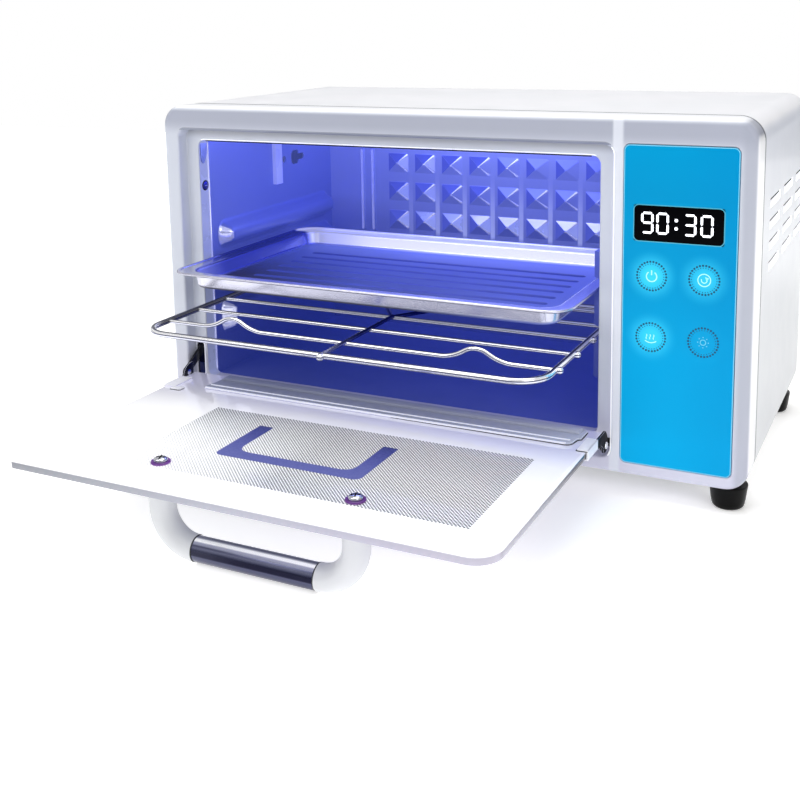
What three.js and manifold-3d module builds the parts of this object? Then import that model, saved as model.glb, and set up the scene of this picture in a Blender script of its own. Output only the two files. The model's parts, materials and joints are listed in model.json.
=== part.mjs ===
// A countertop ultraviolet sterilizer cabinet: a pressed cavity with a lamp, a pull-out wire rack and tray,
// a glass door that folds down on two side hinges and draws the tray and rack out through its linkage,
// and a control compartment with touch keys, fan, heater and boards.
// Millimetres, +Z up, the front faces -Y. X is 0 at the middle of the body, Y is 0 at the front face,
// and Z is 0 at the underside of the body until the last lines move the whole part.
import * as THREE from "three";
import { mergeVertices } from "three/addons/utils/BufferGeometryUtils.js";
import Module from "manifold-3d";

const wasm = await Module();
wasm.setup();

// Running and seating clearances
const GAP = { seat: 0.3, run: 0.4, film: 0.2, clip: 0.25, over: 5 };

// Shares: a radius just short of a full round, how far a press mark is shifted, and a blade's half length
const roundShare = 0.98;
const pressShare = 1.15;
const bladeShare = 0.45;
const FULL_TURN = 360;

// Body
const BODY = { width: 350, height: 187, depth: 183, corner: 12.5, wall: 2.5, rim: 3, sheet: 1 };
const HALF = BODY.width / 2;
const FRAME = { depth: 18, skin: 2.5 };
const RECESS = { margin: 10.9, control: 70.6, head: 14.6, bottom: 8, depth: 8, wall: 1.5, floor: 2, corner: 5 };
RECESS.left = RECESS.margin - HALF;
RECESS.right = HALF - RECESS.control;
RECESS.top = BODY.height - RECESS.head;
const RECESS_BACK = RECESS.depth + RECESS.floor;
const OPENING = {
  stepLeft: 8.6, stepRight: 8.8, stepBottom: 8.5, stepTop: 6.7, corner: 4.5, lip: 1.5, lipEnd: 17,
};
OPENING.left = RECESS.left + OPENING.stepLeft;
OPENING.right = RECESS.right - OPENING.stepRight;
OPENING.bottom = RECESS.bottom + OPENING.stepBottom;
OPENING.top = RECESS.top - OPENING.stepTop;
const LINK_SLOT = { side: 7, width: 4.8, height: 22 };
LINK_SLOT.left = OPENING.left - LINK_SLOT.side;
LINK_SLOT.right = LINK_SLOT.left + LINK_SLOT.width;
LINK_SLOT.top = OPENING.bottom + LINK_SLOT.height;
const PLATE_NOTCH = { side: 1.2, over: 1.3, under: 0.9 };
const SHELL = { underside: 25, joint: 0.3, lap: 6 };
const SHELL_FRONT = FRAME.depth + GAP.run;
const VENT = { rows: 4, front: 41, length: 36, apart: 13.5, rear: 6, head: 44, drop: 11.1, height: 5 };
VENT.step = VENT.length + VENT.apart;
VENT.top = BODY.height - VENT.head;
const REAR = {
  plate: 1, rim: 6, slotHeight: 4, slotLength: 60, slotStep: 10, slots: 6, slotSide: 37, slotHead: 92,
};
REAR.slotX = HALF - REAR.slotSide;
REAR.slotZ = BODY.height - REAR.slotHead;
const SHELL_BACK = BODY.depth - REAR.plate;
VENT.columns = Math.round((SHELL_BACK - VENT.front - VENT.rear + VENT.apart) / VENT.step);

// Door and its hinge
const HINGE = {
  ahead: 0.2, rise: 6.5, pin: 1.3, lug: 4, ear: 3, earSheet: 1.2, clearance: 0.3, headRadius: 2, headLength: 1,
  plateRise: 14.5,
};
HINGE.y = -HINGE.ahead;
HINGE.z = RECESS.bottom + HINGE.rise;
const GLASS = { sideLeft: 5.7, sideRight: 3.2, headGap: 1.1, setBack: 1, offset: 3.35, thick: 4, corner: 13 };
GLASS.left = RECESS.left + GLASS.sideLeft;
GLASS.right = RECESS.right - GLASS.sideRight;
GLASS.back = HINGE.y - GLASS.setBack;
GLASS.front = HINGE.y - (RECESS.top - GLASS.headGap - HINGE.z);
const GLASS_LOW = HINGE.z + GLASS.offset;
const GLASS_TOP = GLASS_LOW + GLASS.thick;
// Where the upper side of the glass stands when the door is shut
const SHUT_FACE = HINGE.y + GLASS.offset + GLASS.thick;
const LEAF = {
  endLeft: 24.4, endRight: 9.2, setBack: 1.8, width: 23, thickWidth: 8.5, run: 1, thin: 0.8, thick: 1.6, corner: 2,
};
LEAF.left = GLASS.left + LEAF.endLeft;
LEAF.right = GLASS.right - LEAF.endRight;
LEAF.back = GLASS.back - LEAF.setBack;
LEAF.front = LEAF.back - LEAF.width;
LEAF.edge = LEAF.back - LEAF.thickWidth;
const CLIP = { sheet: 0.6, side: 1, setBack: 11.8, length: 18, inner: 6.7, edge: 0.2 };
CLIP.back = GLASS.back - CLIP.setBack;
CLIP.front = CLIP.back - CLIP.length;
const CLIP_TOP = GLASS_TOP + CLIP.sheet;
const CLIP_LOW = GLASS_LOW - CLIP.sheet;
const LUG_RIGHT = GLASS.right + CLIP.edge;
const LUG_LEFT = GLASS.left - CLIP.edge;
const TAB = { side: 6.4, width: 7, past: 4 };
TAB.left = GLASS.left + TAB.side;
TAB.right = TAB.left + TAB.width;
TAB.front = CLIP.front - TAB.past;
const RIVET = { ahead: 6.9, rise: 8.7, shank: 1.1, head: 2.4, headLength: 0.7, eye: 3 };
RIVET.y = HINGE.y - RIVET.ahead;
RIVET.z = HINGE.z + RIVET.rise;

// Link arm, its guide pin and its spring; the lean is in degrees
const LINK = {
  side: 1.1, sheet: 1.4, guideBack: 36.2, guideRise: 37.5, lean: 32.1, pin: 1.25, play: 1.8, rim: 1.7,
  neck: 2.6, nearest: 41, farthest: 51.8, tail: 62, eyeHalf: 4.4, eyeRadius: 1.5, tailRim: 1.9,
};
LINK.left = LINK_SLOT.left + LINK.side;
LINK.right = LINK.left + LINK.sheet;
LINK.guideY = HINGE.y + LINK.guideBack;
LINK.guideZ = HINGE.z + LINK.guideRise;
const SPRING = {
  shift: 3.1, wire: 0.6, coil: 2.5, turns: 10, rise: 97.5, stud: 1.4, hookDrop: 8, steps: 7, hookSteps: 8, sides: 3,
};
SPRING.top = HINGE.z + SPRING.rise;
const PLATE = {
  side: 4.1, sheet: 1.2, start: 2, length: 81, rise: 7.5, over: 6, corner: 5, foot: 11, footRise: 28,
};
PLATE.left = LINK.left - PLATE.side;
PLATE.front = RECESS_BACK + PLATE.start;
PLATE.back = PLATE.front + PLATE.length;
PLATE.bottom = HINGE.z + PLATE.rise;
PLATE.top = SPRING.top + PLATE.over;
PLATE.footBottom = PLATE.bottom + PLATE.footRise;
PLATE.footTop = SPRING.top;
const REED = { start: 49, length: 6, rise: 35, height: 25, thick: 3.4 };
REED.front = PLATE.front + REED.start;
REED.back = REED.front + REED.length;
REED.bottom = PLATE.bottom + REED.rise;
REED.top = REED.bottom + REED.height;
const MAGNET = { radius: 1.8, thick: 0.5 };

// Cavity
const CAVITY = { sideLeft: 0.7, sideRight: 0.8, under: 0.5, over: 11.3, rear: 15, start: 0.6, sheet: 1 };
CAVITY.left = OPENING.left + CAVITY.sideLeft;
CAVITY.right = OPENING.right - CAVITY.sideRight;
CAVITY.floor = OPENING.bottom - CAVITY.under;
CAVITY.roof = OPENING.top + CAVITY.over;
CAVITY.back = BODY.depth - CAVITY.rear;
CAVITY.front = OPENING.lipEnd + CAVITY.start;
const CAVITY_WIDTH = CAVITY.right - CAVITY.left;
const CAVITY_MIDDLE = (CAVITY.left + CAVITY.right) / 2;
const WALL_OUT_LEFT = CAVITY.left - CAVITY.sheet;
const WALL_OUT_RIGHT = CAVITY.right + CAVITY.sheet;
const JAMB_SCREW = { back: 5.6, head: 28.7, radius: 2.5, dome: 0.7, shank: 1.3, length: 4.2 };
JAMB_SCREW.y = RECESS.depth + JAMB_SCREW.back;
JAMB_SCREW.z = OPENING.top - JAMB_SCREW.head;
const JAMB_TAB = { half: 9, start: 3, hold: 0.2 };
JAMB_TAB.front = RECESS.depth + JAMB_TAB.start;
// The round hole and the keyhole behind the left lamp holder
const KEYHOLE = { behind: 11, apart: 18, drop: 24.4, small: 1.6, large: 2.4, slotWidth: 1.8, slotHeight: 5 };
const DIMPLE = {
  rows: 3, sideLeft: 48.2, sideRight: 39.7, apartX: 5.5, width: 15.4, rise: 70.8, apartZ: 7.6, height: 13,
  reach: 2.4, tip: 2.6,
};
DIMPLE.left = CAVITY.left + DIMPLE.sideLeft;
DIMPLE.stepX = DIMPLE.width + DIMPLE.apartX;
DIMPLE.stepZ = DIMPLE.height + DIMPLE.apartZ;
DIMPLE.bottom = CAVITY.floor + DIMPLE.rise;
DIMPLE.columns = Math.round((CAVITY.right - DIMPLE.sideRight - DIMPLE.left + DIMPLE.apartX) / DIMPLE.stepX);
const RIB = { outer: 21.4, inner: 12.9, width: 3, rise: 68, height: 60, reach: 1.6, edge: 0.9 };
RIB.bottom = CAVITY.floor + RIB.rise;
RIB.top = RIB.bottom + RIB.height;
const GRILLE = { rear: 48, head: 31, columns: 6, rows: 5, step: 8, hole: 2.6, drop: 2.5 };
GRILLE.y = CAVITY.back - GRILLE.rear;
GRILLE.z = CAVITY.roof - GRILLE.head;

// Tray and rack, drawn out by their travel as the open door leaves them
const TRAY = {
  side: 3.3, travel: 42, doorGap: 1.85, backGap: 3, rise: 75.1, lip: 9, sheet: 1, depth: 9.6, corner: 14,
  cornerStep: 1.6, edge: 1.7,
};
TRAY.width = CAVITY_WIDTH - TRAY.side * 2;
TRAY.front = SHUT_FACE + TRAY.doorGap - TRAY.travel;
TRAY.length = CAVITY.back - TRAY.backGap - TRAY.travel - TRAY.front;
TRAY.rim = CAVITY.floor + TRAY.rise;
const TRAY_RIB = { step: 14, width: 5, height: 0.8, side: 16, first: 34, last: 24 };
TRAY_RIB.count = Math.round((TRAY.length - TRAY_RIB.first - TRAY_RIB.last) / TRAY_RIB.step);
const WYE = { spread: 20, past: 5 };
const RACK = {
  side: 5.3, travel: 80, doorGap: 0.75, backGap: 3, rise: 49, wire: 1.7, cross: 1.2, corner: 18, ball: 2.1, endBall: 1.9,
};
RACK.width = CAVITY_WIDTH - RACK.side * 2;
RACK.front = SHUT_FACE + RACK.doorGap + RACK.ball + WYE.past - RACK.travel;
RACK.length = CAVITY.back - RACK.backGap - RACK.travel - RACK.front;
RACK.z = CAVITY.floor + RACK.rise;
const BAR = { first: 26, step: 28.5, last: 10, past: 2.2 };
BAR.count = Math.round((RACK.length - BAR.first - BAR.last) / BAR.step) + 1;
const HUMP = { sideLeft: 46.8, sideRight: 43.8, half: 14, rise: 6, steps: 8 };
HUMP.left = CAVITY_MIDDLE - RACK.width / 2 + HUMP.sideLeft;
HUMP.right = CAVITY_MIDDLE + RACK.width / 2 - HUMP.sideRight;
const RAIL = {
  start: 6.4, end: 6, reach: 8.4, endRun: 7, sideRun: 1.2, rackHeight: 23, trayHeight: 21.7, guardHeight: 16.5, above: 4.4,
};
RAIL.front = CAVITY.front + RAIL.start;
RAIL.back = CAVITY.back - RAIL.end;
const RACK_SEAT = RACK.z - RACK.wire - GAP.seat;
const TRAY_SEAT = TRAY.rim - GAP.run;
const GUARD_LOW = TRAY.rim + RAIL.above;
const RAILS = [
  { name: "rack rail", bottom: RACK_SEAT - RAIL.rackHeight, top: RACK_SEAT },
  { name: "tray rail", bottom: TRAY_SEAT - RAIL.trayHeight, top: TRAY_SEAT },
  { name: "guard rail", bottom: GUARD_LOW, top: GUARD_LOW + RAIL.guardHeight },
];

// Lamp
const LAMP = { end: 18.8, rear: 75, head: 12, radius: 7.75, cap: 9, capRadius: 8.1, pin: 1, pinLength: 6, pinApart: 6 };
LAMP.x = CAVITY_MIDDLE;
LAMP.y = CAVITY.back - LAMP.rear;
LAMP.z = CAVITY.roof - LAMP.head;
LAMP.length = CAVITY_WIDTH - LAMP.end * 2;
const HOLDER = { ahead: 3.5, behind: 4, drop: 38, bar: 3, socket: 10.5, depth: 8 };
HOLDER.front = LAMP.y - HOLDER.ahead;
HOLDER.back = LAMP.y + HOLDER.behind;
HOLDER.bottom = LAMP.z - HOLDER.drop;

// Control side
const PANEL = { stile: 5.7, margin: 8.6, bottom: 7.1, head: 13.9, corner: 3, thick: 2, ledge: 2.5 };
PANEL.left = RECESS.right + PANEL.stile;
PANEL.right = HALF - PANEL.margin;
PANEL.top = BODY.height - PANEL.head;
const DISPLAY = { sideLeft: 5.5, sideRight: 6.6, head: 30.1, height: 18.1, thick: 1.2, ledge: 1.5, corner: 1 };
DISPLAY.left = PANEL.left + DISPLAY.sideLeft;
DISPLAY.right = PANEL.right - DISPLAY.sideRight;
DISPLAY.top = PANEL.top - DISPLAY.head;
DISPLAY.bottom = DISPLAY.top - DISPLAY.height;
const MODULE = { inset: 2.5, thick: 3.4 };
const KEYS = { side: 14.9, stepX: 26, below: 17.8, stepZ: 31.6, radius: 8, post: 2.7, pad: 0.5 };
KEYS.left = PANEL.left + KEYS.side;
KEYS.right = KEYS.left + KEYS.stepX;
KEYS.upper = DISPLAY.bottom - KEYS.below;
KEYS.lower = KEYS.upper - KEYS.stepZ;
const BOARD = { front: 6, thick: 1.6, inset: 4, low: 6.9, head: 5.1, pillar: 2.5 };
BOARD.bottom = PANEL.bottom + BOARD.low;
BOARD.top = PANEL.top - BOARD.head;
const POWER = { side: 25, thick: 1.6, front: 40, rear: 33, bottom: 12, height: 80, rise: 3, foot: 2 };
POWER.x = HALF - POWER.side;
POWER.back = BODY.depth - POWER.rear;
POWER.top = POWER.bottom + POWER.height;
const POWER_PARTS = { coilLength: 26, coilWidth: 22, coilRise: 20, capRadius: 6, capRise: 22, sink: 30 };
const BALLAST = { gap: 0.3, thick: 24, rear: 16, length: 90, low: 10, height: 36, flange: 8, plate: 1.5 };
BALLAST.back = CAVITY.back - BALLAST.rear;
BALLAST.front = BALLAST.back - BALLAST.length;
BALLAST.bottom = CAVITY.floor + BALLAST.low;
BALLAST.top = BALLAST.bottom + BALLAST.height;
const HEATER = { thick: 9, size: 56, rim: 3, fins: 6 };
// The blade angle and the angle of the first spoke are in degrees
const FAN = {
  size: 60, thick: 15, bore: 27, hub: 11, blade: 24, blades: 7, web: 2, spokes: 3, spoke: 3, bladeAngle: 38, bladeThick: 1.4,
};
const CUTOUT = { start: 29.4, head: 27, radius: 7, cap: 5, flange: 1, wing: 12, wingHalf: 4, tab: 3 };
CUTOUT.y = CAVITY.front + CUTOUT.start;
CUTOUT.z = CAVITY.roof - CUTOUT.head;
const INLET = { side: 35, z: 32, width: 27, height: 20, depth: 20, wall: 2, floor: 6, blades: 1.2, apart: 5.4 };
INLET.x = HALF - INLET.side;

// Feet and handle
const FOOT = { side: 11.5, frontY: 12, rear: 15, top: 9.75, bottom: 8, height: 12.2, bore: 4, floor: 4, hole: 2 };
FOOT.x = HALF - FOOT.side;
FOOT.backY = BODY.depth - FOOT.rear;
const FOOT_SCREW = { head: 3.5, headLength: 2.4, shank: 1.6, tip: 5.2 };
const HANDLE = {
  offCentre: 2.9, width: 109.6, edge: 29, elbow: 6.8, curve: 20, tube: 6.6, drop: 37.25, spigot: 3.6,
  spigotLength: 8, socket: 3.9,
};
HANDLE.middle = (GLASS.left + GLASS.right) / 2 - HANDLE.offCentre;
HANDLE.left = HANDLE.middle - HANDLE.width / 2;
HANDLE.right = HANDLE.middle + HANDLE.width / 2;
HANDLE.y = GLASS.front + HANDLE.edge;
HANDLE.z = GLASS_LOW - HANDLE.drop;
const HANDLE_SCREW = {
  washer: 5, washerThick: 1.2, head: 3.5, headLength: 2, shank: 1.9, hole: 2.3, length: 14, bore: 2.1,
};
const SIDES = { round: 24, small: 12, corner: 5, sweep: 8, wire: 8, few: 6, ball: 6 };

// Solids
const solidOf = (geometry) => {
  const bare = new THREE.BufferGeometry();
  const source = geometry.index ? geometry.toNonIndexed() : geometry;
  bare.setAttribute("position", source.getAttribute("position").clone());
  const merged = mergeVertices(bare, 1e-4);
  return new wasm.Manifold(
    new wasm.Mesh({
      numProp: 3,
      vertProperties: new Float32Array(merged.attributes.position.array),
      triVerts: new Uint32Array(merged.index.array),
    }),
  );
};

const join = (first, ...others) => others.reduce((whole, other) => whole.add(other), first);
const cut = (first, ...others) => others.reduce((whole, other) => whole.subtract(other), first);

const material = (colour, roughness, metalness, extra = {}) =>
  new THREE.MeshStandardMaterial({ color: colour, roughness, metalness, ...extra });

const LOOK = {
  face: material("#c5cbd8", 0.45, 0),
  shell: material("#eef0f4", 0.4, 0.1),
  steel: material("#b9bec8", 0.35, 0.9),
  cavity: material("#4050be", 0.35, 0.6),
  dark: material("#17181c", 0.5, 0.1),
  black: material("#1b1b20", 0.45, 0.7),
  board: material("#1f6b4a", 0.6, 0),
  panel: material("#00a0dc", 0.3, 0),
  screen: material("#0a0b12", 0.1, 0),
  glass: material("#e9ecf6", 0.05, 0, { transparent: true, opacity: 0.55 }),
  leaf: material("#a9aec6", 0.4, 0.4),
  chrome: material("#d9dce2", 0.12, 1),
  lamp: material("#8f9cff", 0.1, 0, { emissive: new THREE.Color("#5560ff") }),
  white: material("#f2f2f5", 0.45, 0),
  purple: material("#6a4bb0", 0.5, 0),
  rubber: material("#202024", 0.85, 0),
  copper: material("#b87b45", 0.4, 0.8),
};

const part = new THREE.Group();
part.name = "uv_sterilizer_cabinet";

const piece = (name, solid, look) => {
  const data = solid.getMesh();
  const places = new Float32Array(data.numVert * 3);
  for (let i = 0; i < data.numVert; i += 1) {
    for (let k = 0; k < 3; k += 1) places[i * 3 + k] = data.vertProperties[i * data.numProp + k];
  }
  const geometry = new THREE.BufferGeometry();
  geometry.setAttribute("position", new THREE.BufferAttribute(places, 3));
  geometry.setIndex(new THREE.BufferAttribute(new Uint32Array(data.triVerts), 1));
  geometry.computeVertexNormals();
  const made = new THREE.Mesh(geometry, look);
  made.name = name;
  part.add(made);
  return made;
};

const box = (x0, x1, y0, y1, z0, z1) =>
  solidOf(new THREE.BoxGeometry(x1 - x0, y1 - y0, z1 - z0).translate((x0 + x1) / 2, (y0 + y1) / 2, (z0 + z1) / 2));

const roundRect = (left, right, bottom, top, radius) => {
  const shape = new THREE.Shape();
  const quarter = Math.PI / 2;
  if (radius <= 0) {
    shape.moveTo(left, bottom);
    shape.lineTo(right, bottom);
    shape.lineTo(right, top);
    shape.lineTo(left, top);
    shape.closePath();
    return shape;
  }
  shape.moveTo(left + radius, bottom);
  shape.lineTo(right - radius, bottom);
  shape.absarc(right - radius, bottom + radius, radius, -quarter, 0, false);
  shape.lineTo(right, top - radius);
  shape.absarc(right - radius, top - radius, radius, 0, quarter, false);
  shape.lineTo(left + radius, top);
  shape.absarc(left + radius, top - radius, radius, quarter, Math.PI, false);
  shape.lineTo(left, bottom + radius);
  shape.absarc(left + radius, bottom + radius, radius, Math.PI, Math.PI + quarter, false);
  return shape;
};

const outline = (points) => new THREE.Shape(points.map(([a, b]) => new THREE.Vector2(a, b)));

const extruded = (shape, depth, steps = SIDES.corner) =>
  new THREE.ExtrudeGeometry(shape, { depth, bevelEnabled: false, curveSegments: steps });

// A shape drawn in X and Z, as thick as y0 to y1
const alongY = (shape, y0, y1, steps) =>
  solidOf(extruded(shape, y1 - y0, steps).rotateX(Math.PI / 2).translate(0, y1, 0));

// A shape drawn in Y and Z, as wide as x0 to x1
const TURN_X = new THREE.Matrix4().makeBasis(
  new THREE.Vector3(0, 1, 0), new THREE.Vector3(0, 0, 1), new THREE.Vector3(1, 0, 0));
const alongX = (shape, x0, x1, steps) =>
  solidOf(extruded(shape, x1 - x0, steps).applyMatrix4(TURN_X).translate(x0, 0, 0));

// A shape drawn in X and Y, as high as z0 to z1
const alongZ = (shape, z0, z1, steps) => solidOf(extruded(shape, z1 - z0, steps).translate(0, 0, z0));

const rodX = (x0, x1, y, z, r, sides = SIDES.small) =>
  solidOf(new THREE.CylinderGeometry(r, r, x1 - x0, sides).rotateZ(Math.PI / 2).translate((x0 + x1) / 2, y, z));
const rodY = (y0, y1, x, z, r, sides = SIDES.small) =>
  solidOf(new THREE.CylinderGeometry(r, r, y1 - y0, sides).translate(x, (y0 + y1) / 2, z));
const rodZ = (z0, z1, x, y, r, sides = SIDES.small) =>
  solidOf(new THREE.CylinderGeometry(r, r, z1 - z0, sides).rotateX(Math.PI / 2).translate(x, y, (z0 + z1) / 2));

// A frustum from one rectangle to a smaller one, its axis along a named direction
const hull = (near, far) => {
  const places = [...near, ...far];
  const faces = [[0, 2, 1], [0, 3, 2], [4, 5, 6], [4, 6, 7]];
  for (let i = 0; i < 4; i += 1) {
    const next = (i + 1) % 4;
    faces.push([i, next, 4 + next], [i, 4 + next, 4 + i]);
  }
  const geometry = new THREE.BufferGeometry();
  geometry.setAttribute("position", new THREE.Float32BufferAttribute(places.flat(), 3));
  geometry.setIndex(faces.flat());
  const made = solidOf(geometry);
  return made.volume() > 0 ? made : solidOf(flipped(geometry));
};

const flipped = (geometry) => {
  const turned = geometry.clone();
  const order = Array.from(turned.index.array);
  for (let i = 0; i < order.length; i += 3) [order[i + 1], order[i + 2]] = [order[i + 2], order[i + 1]];
  turned.setIndex(order);
  return turned;
};

// A wire of one thickness along a route
const wire = (points, radius, steps, sides) => {
  const route = new THREE.CatmullRomCurve3(points, false, "centripetal");
  const ring = new THREE.Shape();
  ring.absarc(0, 0, radius, 0, Math.PI * 2, false);
  const geometry = new THREE.ExtrudeGeometry(ring, { steps, extrudePath: route, bevelEnabled: false, curveSegments: sides });
  return solidOf(geometry);
};

const at = (x, y, z) => new THREE.Vector3(x, y, z);

// Body
const frontFrame = () => {
  const outer = solidOf(
    new THREE.ExtrudeGeometry(roundRect(-HALF, HALF, 0, BODY.height, BODY.corner), {
      depth: FRAME.depth, bevelEnabled: true, bevelThickness: BODY.rim, bevelSize: BODY.rim,
      bevelOffset: -BODY.rim, bevelSegments: 3, curveSegments: SIDES.corner,
    }).rotateX(Math.PI / 2).translate(0, FRAME.depth + BODY.rim, 0),
  ).intersect(box(-BODY.width, BODY.width, -GAP.over, FRAME.depth, -GAP.over, BODY.height + GAP.over));
  const w = BODY.wall;
  const hollow = alongY(
    roundRect(w - HALF, HALF - w, w, BODY.height - w, BODY.corner - w), FRAME.skin, FRAME.depth + GAP.over);
  const tub = alongY(
    roundRect(RECESS.left - RECESS.wall, RECESS.right + RECESS.wall, RECESS.bottom - RECESS.wall,
      RECESS.top + RECESS.wall, RECESS.corner + RECESS.wall), FRAME.skin, RECESS_BACK);
  const well = alongY(
    roundRect(RECESS.left, RECESS.right, RECESS.bottom, RECESS.top, RECESS.corner), -GAP.over, RECESS.depth);
  const lip = alongY(
    roundRect(OPENING.left - OPENING.lip, OPENING.right + OPENING.lip, OPENING.bottom - OPENING.lip,
      OPENING.top + OPENING.lip, OPENING.corner + OPENING.lip), RECESS.depth, OPENING.lipEnd);
  const mouth = alongY(
    roundRect(OPENING.left, OPENING.right, OPENING.bottom, OPENING.top, OPENING.corner), -GAP.over,
    OPENING.lipEnd + GAP.over);
  const slotRadius = (LINK_SLOT.right - LINK_SLOT.left) / 2;
  const linkSlot = alongY(
    roundRect(LINK_SLOT.left, LINK_SLOT.right, OPENING.bottom, LINK_SLOT.top, slotRadius * roundShare),
    RECESS.depth - GAP.run, RECESS_BACK + GAP.over);
  const notch = (x0, x1) =>
    box(x0, x1, RECESS.depth - GAP.run, RECESS_BACK + GAP.over,
      HINGE.z - HINGE.ear - PLATE_NOTCH.under, HINGE.z + PLATE_NOTCH.over);
  const rightEar = LUG_RIGHT - HINGE.clearance - HINGE.earSheet;
  const leftEar = LUG_LEFT + HINGE.clearance;
  const rightNotch = notch(rightEar - PLATE_NOTCH.side, LUG_RIGHT + PLATE_NOTCH.side);
  const leftNotch = notch(leftEar - PLATE_NOTCH.side, leftEar + HINGE.earSheet + GAP.seat);
  const seat = alongY(
    roundRect(PANEL.left - GAP.seat - PANEL.ledge, PANEL.right + GAP.seat + PANEL.ledge,
      PANEL.bottom - GAP.seat - PANEL.ledge / 2, PANEL.top + GAP.seat + PANEL.ledge, PANEL.corner + PANEL.ledge),
    FRAME.skin / 2, PANEL.thick + OPENING.lip);
  const pocket = alongY(
    roundRect(PANEL.left - GAP.seat, PANEL.right + GAP.seat, PANEL.bottom - GAP.seat, PANEL.top + GAP.seat,
      PANEL.corner), -GAP.over, PANEL.thick);
  const window = alongY(
    roundRect(PANEL.left + PANEL.ledge, PANEL.right - PANEL.ledge, PANEL.bottom + PANEL.ledge,
      PANEL.top - PANEL.ledge, PANEL.corner), -GAP.over, FRAME.depth);
  const screws = [-FOOT.x, FOOT.x].map((x) => rodZ(-GAP.over, w + GAP.over, x, FOOT.frontY, FOOT.hole));
  const jamb = [-1, 1].map((side) => {
    const edge = side < 0 ? OPENING.left : OPENING.right;
    return rodX(edge - OPENING.lip - GAP.run, edge + OPENING.lip + GAP.run, JAMB_SCREW.y, JAMB_SCREW.z,
      JAMB_SCREW.shank + GAP.seat);
  });
  return cut(join(outer.subtract(hollow), tub, lip, seat), well, mouth, linkSlot, rightNotch, leftNotch, pocket,
    window, ...screws, ...jamb);
};

const outerShell = () => {
  const t = BODY.sheet;
  const ring = alongY(roundRect(-HALF, HALF, 0, BODY.height, BODY.corner), SHELL_FRONT, SHELL_BACK)
    .subtract(alongY(roundRect(t - HALF, HALF - t, t, BODY.height - t, BODY.corner - t),
      SHELL_FRONT - GAP.over, SHELL_BACK + GAP.over));
  const gap = box(SHELL.underside - HALF, HALF - SHELL.underside, SHELL_FRONT - GAP.over, SHELL_BACK + GAP.over,
    -GAP.over, t * 2);
  const louvres = [];
  for (let c = 0; c < VENT.columns; c += 1) {
    for (let r = 0; r < VENT.rows; r += 1) {
      const front = VENT.front + c * VENT.step;
      const top = VENT.top - r * VENT.drop;
      louvres.push(box(HALF - t - GAP.run, HALF + GAP.run, front, front + VENT.length, top - VENT.height, top));
    }
  }
  const screws = [-FOOT.x, FOOT.x].map((x) => rodZ(-GAP.over, t + GAP.over, x, FOOT.backY, FOOT.hole));
  return cut(ring, gap, ...louvres, ...screws);
};

const basePlate = () => {
  const half = HALF - SHELL.underside - SHELL.joint;
  const t = BODY.sheet;
  const plate = box(-half, half, SHELL_FRONT, SHELL_BACK, 0, t);
  const lap = box(-half - SHELL.lap, half + SHELL.lap, SHELL_FRONT + t, SHELL_BACK - REAR.rim - t * 2, t, t * 2);
  return plate.add(lap);
};

const rearPanel = () => {
  const t = BODY.sheet;
  const inset = t + GAP.seat;
  const plate = alongY(roundRect(-HALF, HALF, 0, BODY.height, BODY.corner), SHELL_BACK, BODY.depth);
  const rim = alongY(
    roundRect(inset - HALF, HALF - inset, inset + t, BODY.height - inset, BODY.corner - inset),
    SHELL_BACK - REAR.rim, SHELL_BACK)
    .subtract(alongY(
      roundRect(inset + t - HALF, HALF - inset - t, inset + t * 2, BODY.height - inset - t,
        BODY.corner - inset - t), SHELL_BACK - REAR.rim - GAP.over, SHELL_BACK));
  const slots = [];
  for (let i = 0; i < REAR.slots; i += 1) {
    const z = REAR.slotZ + i * REAR.slotStep;
    slots.push(box(REAR.slotX - REAR.slotLength / 2, REAR.slotX + REAR.slotLength / 2, SHELL_BACK - t,
      BODY.depth + t, z, z + REAR.slotHeight));
  }
  const inlet = box(INLET.x - INLET.width / 2 - GAP.seat, INLET.x + INLET.width / 2 + GAP.seat, SHELL_BACK - t,
    BODY.depth + t, INLET.z - INLET.height / 2 - GAP.seat, INLET.z + INLET.height / 2 + GAP.seat);
  return cut(plate.add(rim), ...slots, inlet);
};

// Cavity walls
const railPress = (side, rail) => {
  const wall = side < 0 ? CAVITY.left : CAVITY.right;
  const sink = side * CAVITY.sheet / 2;
  const tip = wall - side * RAIL.reach;
  const e = RAIL.endRun;
  const s = RAIL.sideRun;
  const base = [[wall + sink, RAIL.front, rail.bottom], [wall + sink, RAIL.back, rail.bottom],
    [wall + sink, RAIL.back, rail.top], [wall + sink, RAIL.front, rail.top]];
  const far = [[tip, RAIL.front + e, rail.bottom + s], [tip, RAIL.back - e, rail.bottom + s],
    [tip, RAIL.back - e, rail.top - s], [tip, RAIL.front + e, rail.top - s]];
  return hull(base, far);
};

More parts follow.
